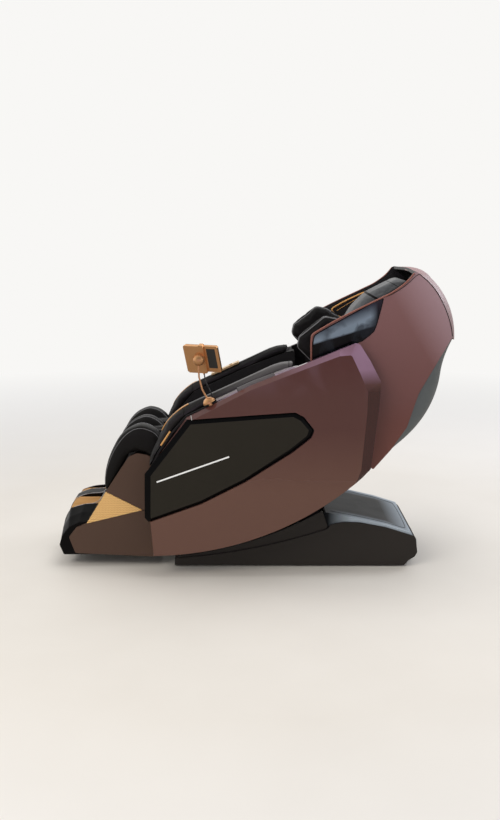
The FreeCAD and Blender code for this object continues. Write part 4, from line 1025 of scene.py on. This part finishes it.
def makeGusset(name, spec):
    # Padded strips, carried along a line (U, W), that close the slots beside the back cushion. The outer
    # edge moves out by the flare for each millimetre forwards.
    line = evenly(rounded([(u, w, 0) for u, w in spec["line"]]), gussetGrid["step"])[:, :2]
    along = np.gradient(line, axis=0)
    square = np.stack([-along[:, 1], along[:, 0]], axis=1) / np.linalg.norm(along, axis=1)[:, None]
    share = np.linspace(0, 1, gussetGrid["columns"])
    for side, word in bothSides:
        layers = []
        for way in (1, -1):
            at = line + square * way * spec["thickness"] / 2
            outer = spec["outer"] + spec["flare"] * at[:, 1, None]
            y = spec["inner"] + (outer - spec["inner"]) * share[None, ::way]
            u, w = np.broadcast_to(at[:, 0, None], y.shape), np.broadcast_to(at[:, 1, None], y.shape)
            layers.append(np.stack(backPoint(u, w, side * y), axis=2))
        ring = np.concatenate(layers, axis=1)
        faces = tubeFaces(*ring.shape[:2])
        piece = newPiece(name + word, ring.reshape(-1, 3), faces, "leatherBlack", "backrest")


makeApron()
for gussetName, spec in gussets.items():
    makeGusset(gussetName, spec)
makePiping()
makeCalfSeams()
makePillowBands()
makeArmGold()
report("piping")


# seams, frames and rims on the back

darkSeam = dict(base=290, finish="shellSeam", slot="inner_dark")
speaker = dict(base=266.5, finish="goldPiping", slot="rose_gold")
backLines = {
    "seamUpper": dict(darkSeam, radius=0.0014, line=[(633, 326), (650, 309), (690, 285), (727, 269),
                      (758, 261), (779, 251)]),
    "seamRear": dict(darkSeam, radius=0.0018, line=[(779, 249), (773, 207), (758, 159), (735, 117),
                     (709, 79), (681, 45), (655, 19), (632, 1)]),
    "windowRim": dict(base=290, radius=0.0022, finish="footGloss", slot="foot_gloss", closed=True,
                      line=[(284, 459), (357, 493), (374, 490), (500, 411), (625, 333), (625, 325),
                      (534, 299), (495, 291), (440, 312), (270, 452)]),
    "rimBand": dict(base=291.4, drop=3.5, radius=0.0034, finish="rimBrown", slot="shell_matte",
                    line=[(270, 456), (356, 507), (374, 502), (479, 440), (631, 333), (670, 306),
                    (728, 280), (772, 273)]),
    "speakerFrame": dict(speaker, radius=0.0040, closed=True, line=[(647, 288), (623, 316), (569, 357),
                         (520, 390), (484, 411), (469, 416), (461, 404), (457, 362), (470, 345), (520, 318),
                         (580, 292), (632, 274)]),
    "speakerLine": dict(speaker, radius=0.0014, line=[(634, 292), (591, 326), (534, 361), (476, 392)]),
}


def makeBackLines():
    # Lines (U, W) on the flared side plates, a base distance from the middle plane at W = 0.
    for name, spec in backLines.items():
        made = []
        closed, drop = spec.get("closed", False), spec.get("drop", 0)
        for side, _ in bothSides:
            line = [backPoint(u, w - drop, side * (spec["base"] + plateFlare * w)) for u, w in spec["line"]]
            path = evenly(rounded(line, closed=closed), lineStep, closed)
            made.append(tube(name, path, spec["radius"], spec["finish"], "backrest",
                             closed=closed, sides=8))
        joined(made, name)


makeBackLines()
report("back lines")


# strips on the arms, painted glints on the shells' tips, painted highlight lines on the foot wells' rims, the
# groove on the base, insets and key marks

armStrips = [("stripFront", [(-0.164, 0.7275), (-0.12, 0.7478), (-0.0785, 0.767)], 0.0095, "silverTrim"),
             ("stripRibbed", [(-0.0775, 0.7675), (-0.0275, 0.7905), (0.0695, 0.828)], 0.0145, "ribGrey"),
             ("stripRear", [(0.0705, 0.8285), (0.12, 0.8475), (0.165, 0.857)], 0.0145, "silverTrim")]
stripPlace = dict(away=0.3445, width=0.0116)
# A painted glint: a bright silver strip across the bevel at each shell's front tip.
clip = dict(line=[(-0.2645, 0.3715, 0.6737), (-0.2622, 0.381, 0.6655), (-0.260, 0.3893, 0.658)],
            across=(1, 0, 0.5), thick=0.0022, width=0.0032)
# Painted highlights: thin silver lines along the foot wells' edges, where the glossy black rims catch the
# light.
wellRimHighlights = [
    dict(away=0.040, line=[(-0.648, 0.304), (-0.670, 0.266), (-0.738, 0.266), (-0.797, 0.243),
                           (-0.824, 0.190), (-0.829, 0.142)]),
    dict(away=0.160, line=[(-0.648, 0.304), (-0.678, 0.253), (-0.735, 0.250), (-0.797, 0.232),
                           (-0.822, 0.185), (-0.829, 0.142)]),
]
wellRimHighlightRadius = 0.0014


def makeBands(name, paths, high, wide, across, finish):
    # Flat bright bands on the seat, joined into one piece.
    made = []
    for path in paths:
        points, faces = sweep(path, rectangle(high, wide), across)
        made.append(newPiece(name, points, faces, finish, "seat", smooth=False))
    joined(made, name)


def makeStrips():
    # Upright strips between each arm's shell and its pad, standing on the arm's core.
    for name, line, height, finish in armStrips:
        raised = [(x, z + height / 2) for x, z in line]
        paths = [evenly(np.array(flat(raised, side * stripPlace["away"])), lineStep) for side, _ in bothSides]
        makeBands(name, paths, height, stripPlace["width"], (0, 1, 0), finish)


def makeTipGlints():
    # A bright silver strip across the bevel at each shell's front tip: a painted glint.
    paths = [np.array(clip["line"]) * (1, side, 1) for side, _ in bothSides]
    makeBands("shellTipGlints", paths, clip["thick"], clip["width"], clip["across"], "silverTrim")


def makeWellRimHighlights():
    # Silver lines along the wells' edges, painted highlights on the black rims.
    made = []
    for spec in wellRimHighlights:
        for side, _ in bothSides:
            path = evenly(rounded(flat(spec["line"], side * spec["away"])), lineStep)
            made.append(tube("wellRimHighlights", path, wellRimHighlightRadius, "silverTrim", "foot_rest",
                             sides=8))
    joined(made, "wellRimHighlights")


coverLine = dict(line=[(0.312, -0.205), (0.46, -0.205), (0.622, -0.205), (0.641, -0.188), (0.641, 0.188),
                 (0.622, 0.205), (0.46, 0.205), (0.312, 0.205)], step=0.006, radius=0.0013, above=1.0)


def makeGroove():
    # A dark line pressed into the base's rear cover, round three sides: dropped straight down onto it.
    tree = treeOf(nodes["base_rear_cover"].data)
    path = evenly(rounded([(x, y, coverLine["above"]) for x, y in coverLine["line"]], 2), coverLine["step"])
    found = [tree.ray_cast(Vector(point), Vector((0, 0, -1)))[0] for point in path]
    onCover = np.array([tuple(point) for point in found if point is not None])
    tube("coverGroove", onCover, coverLine["radius"], "motorBlack", "base", across=(0, 0, 1),
         sides=8)


# A point of the tablet's own frame is across, through and up.
inset = dict(across=(0.031, 0.069), through=(0.0218, 0.0226), up=(-0.046, 0.042))


def makeInset():
    # A plain dark plate on the back of the tablet.
    (left, right), (low, high) = inset["across"], inset["up"]
    face = ((left, low), (right, low), (right, high), (left, high))
    corners = [onTablet(x, y, z) for y in inset["through"] for x, z in face]
    faces = [(0, 1, 2, 3), (4, 5, 6, 7), (0, 1, 5, 4), (1, 2, 6, 5), (2, 3, 7, 6), (3, 0, 4, 7)]
    newPiece("tabletInset", corners, faces, "plainInset", "tablet_head", smooth=False)


dome = dict(radius=0.0245, base=0.0082, depth=0.0290, rings=11, columns=40, reach=0.47 * math.pi)


def makeDome():
    # The gold dome over the tablet's ball: rings of a quarter ellipse about the tablet's through line.
    lift = np.linspace(0, dome["reach"], dome["rings"])[:, None]
    turn = np.linspace(0, 2 * math.pi, dome["columns"], endpoint=False)[None, :]
    ring, depth = dome["radius"] * np.cos(lift), dome["base"] - dome["depth"] * np.sin(lift)
    across, through, up = (np.array(direction) for direction in (acrossTablet, throughTablet, upTablet))
    points = (np.array(tablet["ball"]) + (ring * np.cos(turn))[..., None] * across
              + (depth * np.ones_like(turn))[..., None] * through + (ring * np.sin(turn))[..., None] * up)
    newPiece("tabletDome", points.reshape(-1, 3), tubeFaces(dome["rings"], dome["columns"]), "roseGold",
             "tablet_head")


keys = dict(slope=math.radians(24.6), start=(-0.205, 0.300, 0.7421), low=0.0108, high=0.0113, tip=0.0045,
            foot=0.003, half=0.004)
keyMarks = {
    "keyMarkUp": dict(body="up_key", place=0.040, way=1),
    "keyMarkDown": dict(body="down_key", place=0.100, way=-1),
}


def makeKeyMarks():
    # A small triangle on each key, one pointing up the arm and one down.
    sine, cosine = math.sin(keys["slope"]), math.cos(keys["slope"])
    along, lift = np.array([cosine, 0, sine]), np.array([-sine, 0, cosine])
    for name, spec in keyMarks.items():
        middle = np.array(keys["start"]) + along * spec["place"]
        tip, foot = spec["way"] * keys["tip"], -spec["way"] * keys["foot"]
        outline = [(tip, 0.0), (foot, keys["half"]), (foot, -keys["half"])]
        points = [middle + along * a + np.array([0, b, 0]) + lift * h for h in (keys["low"], keys["high"])
                  for a, b in outline]
        faces = [(0, 1, 2), (3, 4, 5), (0, 1, 4, 3), (1, 2, 5, 4), (2, 0, 3, 5)]
        newPiece(name, points, faces, "plainInset", spec["body"], smooth=False)


makeStrips()
makeTipGlints()
makeWellRimHighlights()
makeGroove()
makeInset()
makeDome()
makeKeyMarks()
report("trims")


# the tablet's cable

cable = dict(points=[(-0.2126, -0.3127, 0.8322), (-0.2097, -0.3198, 0.8171), (-0.205, -0.345, 0.804),
             (-0.192, -0.355, 0.779), (-0.181, -0.361, 0.760), (-0.177, -0.363, 0.744)], diameter=0.005,
             length=0.112)


def makeCable():
    curve = bpy.data.curves.new("tabletCable", "CURVE")
    curve.dimensions = "3D"
    spline = curve.splines.new("NURBS")
    spline.points.add(len(cable["points"]) - 1)
    for point, place in zip(spline.points, cable["points"]):
        point.co = (*place, 1.0)
    spline.order_u = 3
    spline.use_endpoint_u = True
    curve.resolution_u = 24
    curve.bevel_depth = cable["diameter"] / 2
    curve.bevel_resolution = 4
    curve.materials.append(materials["motorBlack"])
    piece = linked("tabletCable", curve)
    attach(piece, "tablet_stalk")
    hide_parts("tablet_cable")


makeCable()
report("cable")


# stage: camera, floor, world and lamps

view = dict(place=(-0.028, -4.310, 1.405), pitch=10.2, lens=43.9)
floorSetup = dict(radius=9.0, sides=96, away=(1.6, 6.0), cells=3.0, detail=4.0, patches=(0.3, 0.7),
                  share=0.25, near=(226, 220, 210), grain=(236, 231, 222), far=(255, 255, 255), rough=0.55)
worldSetup = dict(light=0.62, lit=(252, 252, 255), shown=(248, 247, 245), low=0.20, high=0.95,
                  floor=(150, 143, 135), behind=(-0.5, 0.4), ends=(0.5, 0.95), endShare=0.7)
cardSetup = dict(y=-4.5, half=3.0, top=2.2, dark=(24, 18, 22), pale=(214, 190, 222), power=2.2, cells=2.8,
                 detail=1.5, bend=1.4, patches=(0.47, 0.60), rise=(0.05, 0.40))
lamps = {
    "key": dict(place=(-2.4, -3.4, 3.4), size=(2.6, 1.8), power=70, color=(255, 250, 243), mirrored=False),
    "top": dict(place=(0.3, 0.2, 3.6), size=(2.4, 2.0), power=55, color=(250, 252, 255), mirrored=False),
    "rear": dict(place=(3.0, 1.6, 2.6), size=(1.6, 1.6), power=40, color=(240, 244, 255), mirrored=True),
}
lampAim = (0, 0, 0.6)


def makeCamera():
    data = bpy.data.cameras.new("photoView")
    data.sensor_fit = "VERTICAL"
    data.sensor_height = 36
    data.lens = view["lens"]
    camera = linked("photoView", data)
    camera.location = view["place"]
    camera.rotation_euler = (math.radians(90 - view["pitch"]), 0, 0)
    scene.camera = camera


def stageMesh(name, corners):
    # One flat face of the stage, with a material of its own.
    mesh = bpy.data.meshes.new(name)
    mesh.from_pydata(corners, [], [list(range(len(corners)))])
    material, tree = newMaterial(name)
    mesh.materials.append(material)
    linked(name, mesh)
    return tree


def glowing(tree, color, strength=1.0):
    return put(tree, "Emission", {"Color": color, "Strength": strength})


def makeFloor():
    # A disc whose colour turns into the white background away from the chair.
    angles = np.linspace(0, 2 * math.pi, floorSetup["sides"], endpoint=False)
    rim = np.stack([np.cos(angles), np.sin(angles), np.zeros_like(angles)], axis=1) * floorSetup["radius"]
    tree = stageMesh("studioFloor", rim.tolist())
    shader = tree.nodes["Principled BSDF"]
    place = space(tree)
    away = put(tree, "VectorMath", {0: place}, operation="LENGTH").outputs["Value"]
    away = ranged(tree, away, *floorSetup["away"])
    grain = noise(tree, place, floorSetup["cells"], floorSetup["detail"])
    grain = ranged(tree, grain, *floorSetup["patches"], 0.0, floorSetup["share"])
    color = mixColor(tree, grain, tint(*floorSetup["near"]), tint(*floorSetup["grain"]))
    color = mixColor(tree, away, color, tint(*floorSetup["far"]))
    feed(tree, shader, {"Base Color": color, "Roughness": floorSetup["rough"]})
    rays = put(tree, "LightPath").outputs
    shown, mirrored = glowing(tree, tint(*worldSetup["shown"])), glowing(tree, tint(*worldSetup["floor"]))
    blend = mixShader(tree, product(tree, away, rays["Is Camera Ray"]), shader, shown)
    whole = mixShader(tree, rays["Is Glossy Ray"], blend, mirrored)
    feed(tree, tree.nodes["Material Output"], {"Surface": whole.outputs[0]})


def makeCard():
    # A studio card behind the camera that only reflections see: soft dark and pale patches.
    y, half, top = cardSetup["y"], cardSetup["half"], cardSetup["top"]
    tree = stageMesh("reflectorCard", [(-half, y, 0), (half, y, 0), (half, y, top), (-half, y, top)])
    tree.nodes.remove(tree.nodes["Principled BSDF"])
    patches = noise(tree, space(tree), cardSetup["cells"], cardSetup["detail"], cardSetup["bend"])
    patches = ranged(tree, patches, *cardSetup["patches"])
    color = mixColor(tree, patches, tint(*cardSetup["dark"]), tint(*cardSetup["pale"]))
    foot = scaled(tint(*worldSetup["floor"]), 1 / cardSetup["power"])
    color = mixColor(tree, between(tree, "Z", cardSetup["rise"]), foot, color)
    seen = put(tree, "LightPath").outputs["Is Glossy Ray"]
    blend = mixShader(tree, seen, put(tree, "BsdfTransparent"), glowing(tree, color, cardSetup["power"]))
    feed(tree, tree.nodes["Material Output"], {"Surface": blend.outputs[0]})


def makeWorld():
    # Plain light from all round; the camera sees the pale background, and reflections see it
    # bright behind the chair and at its two ends and dim on the camera's side.
    world = bpy.data.worlds.new("studio")
    scene.world = world
    world.use_nodes = True
    tree = world.node_tree
    tree.nodes.clear()
    behind = between(tree, "Y", worldSetup["behind"], "Generated")
    ends = math2(tree, "ABSOLUTE", axis(tree, "X", "Generated"))
    ends = ranged(tree, ends, *worldSetup["ends"], 0.0, worldSetup["endShare"])
    rise = ranged(tree, math2(tree, "MAXIMUM", behind, ends), 0.0, 1.0, worldSetup["low"], worldSetup["high"])
    rays = put(tree, "LightPath").outputs
    strength = mixValue(tree, rays["Is Camera Ray"], rise, 1.0)
    shown = put(tree, "Background", {"Color": tint(*worldSetup["shown"]), "Strength": strength})
    lit = put(tree, "Background", {"Color": tint(*worldSetup["lit"]), "Strength": worldSetup["light"]})
    mirrors = math2(tree, "MAXIMUM", rays["Is Glossy Ray"], rays["Is Transmission Ray"])
    blend = mixShader(tree, math2(tree, "MAXIMUM", rays["Is Camera Ray"], mirrors), lit, shown)
    put(tree, "OutputWorld", {"Surface": blend.outputs[0]})


def makeLamps():
    for name, spec in lamps.items():
        data = bpy.data.lights.new(name, "AREA")
        data.shape = "RECTANGLE"
        data.size, data.size_y = spec["size"]
        data.energy = spec["power"]
        data.color = tint(*spec["color"])[:3]
        lamp = linked(name, data)
        lamp.location = spec["place"]
        lamp.visible_glossy = spec["mirrored"]
        way = Vector(lampAim) - Vector(spec["place"])
        lamp.rotation_euler = way.to_track_quat("-Z", "Y").to_euler()


makeCamera()
makeFloor()
makeCard()
makeWorld()
makeLamps()
scene.view_settings.view_transform = "Standard"
report("stage")
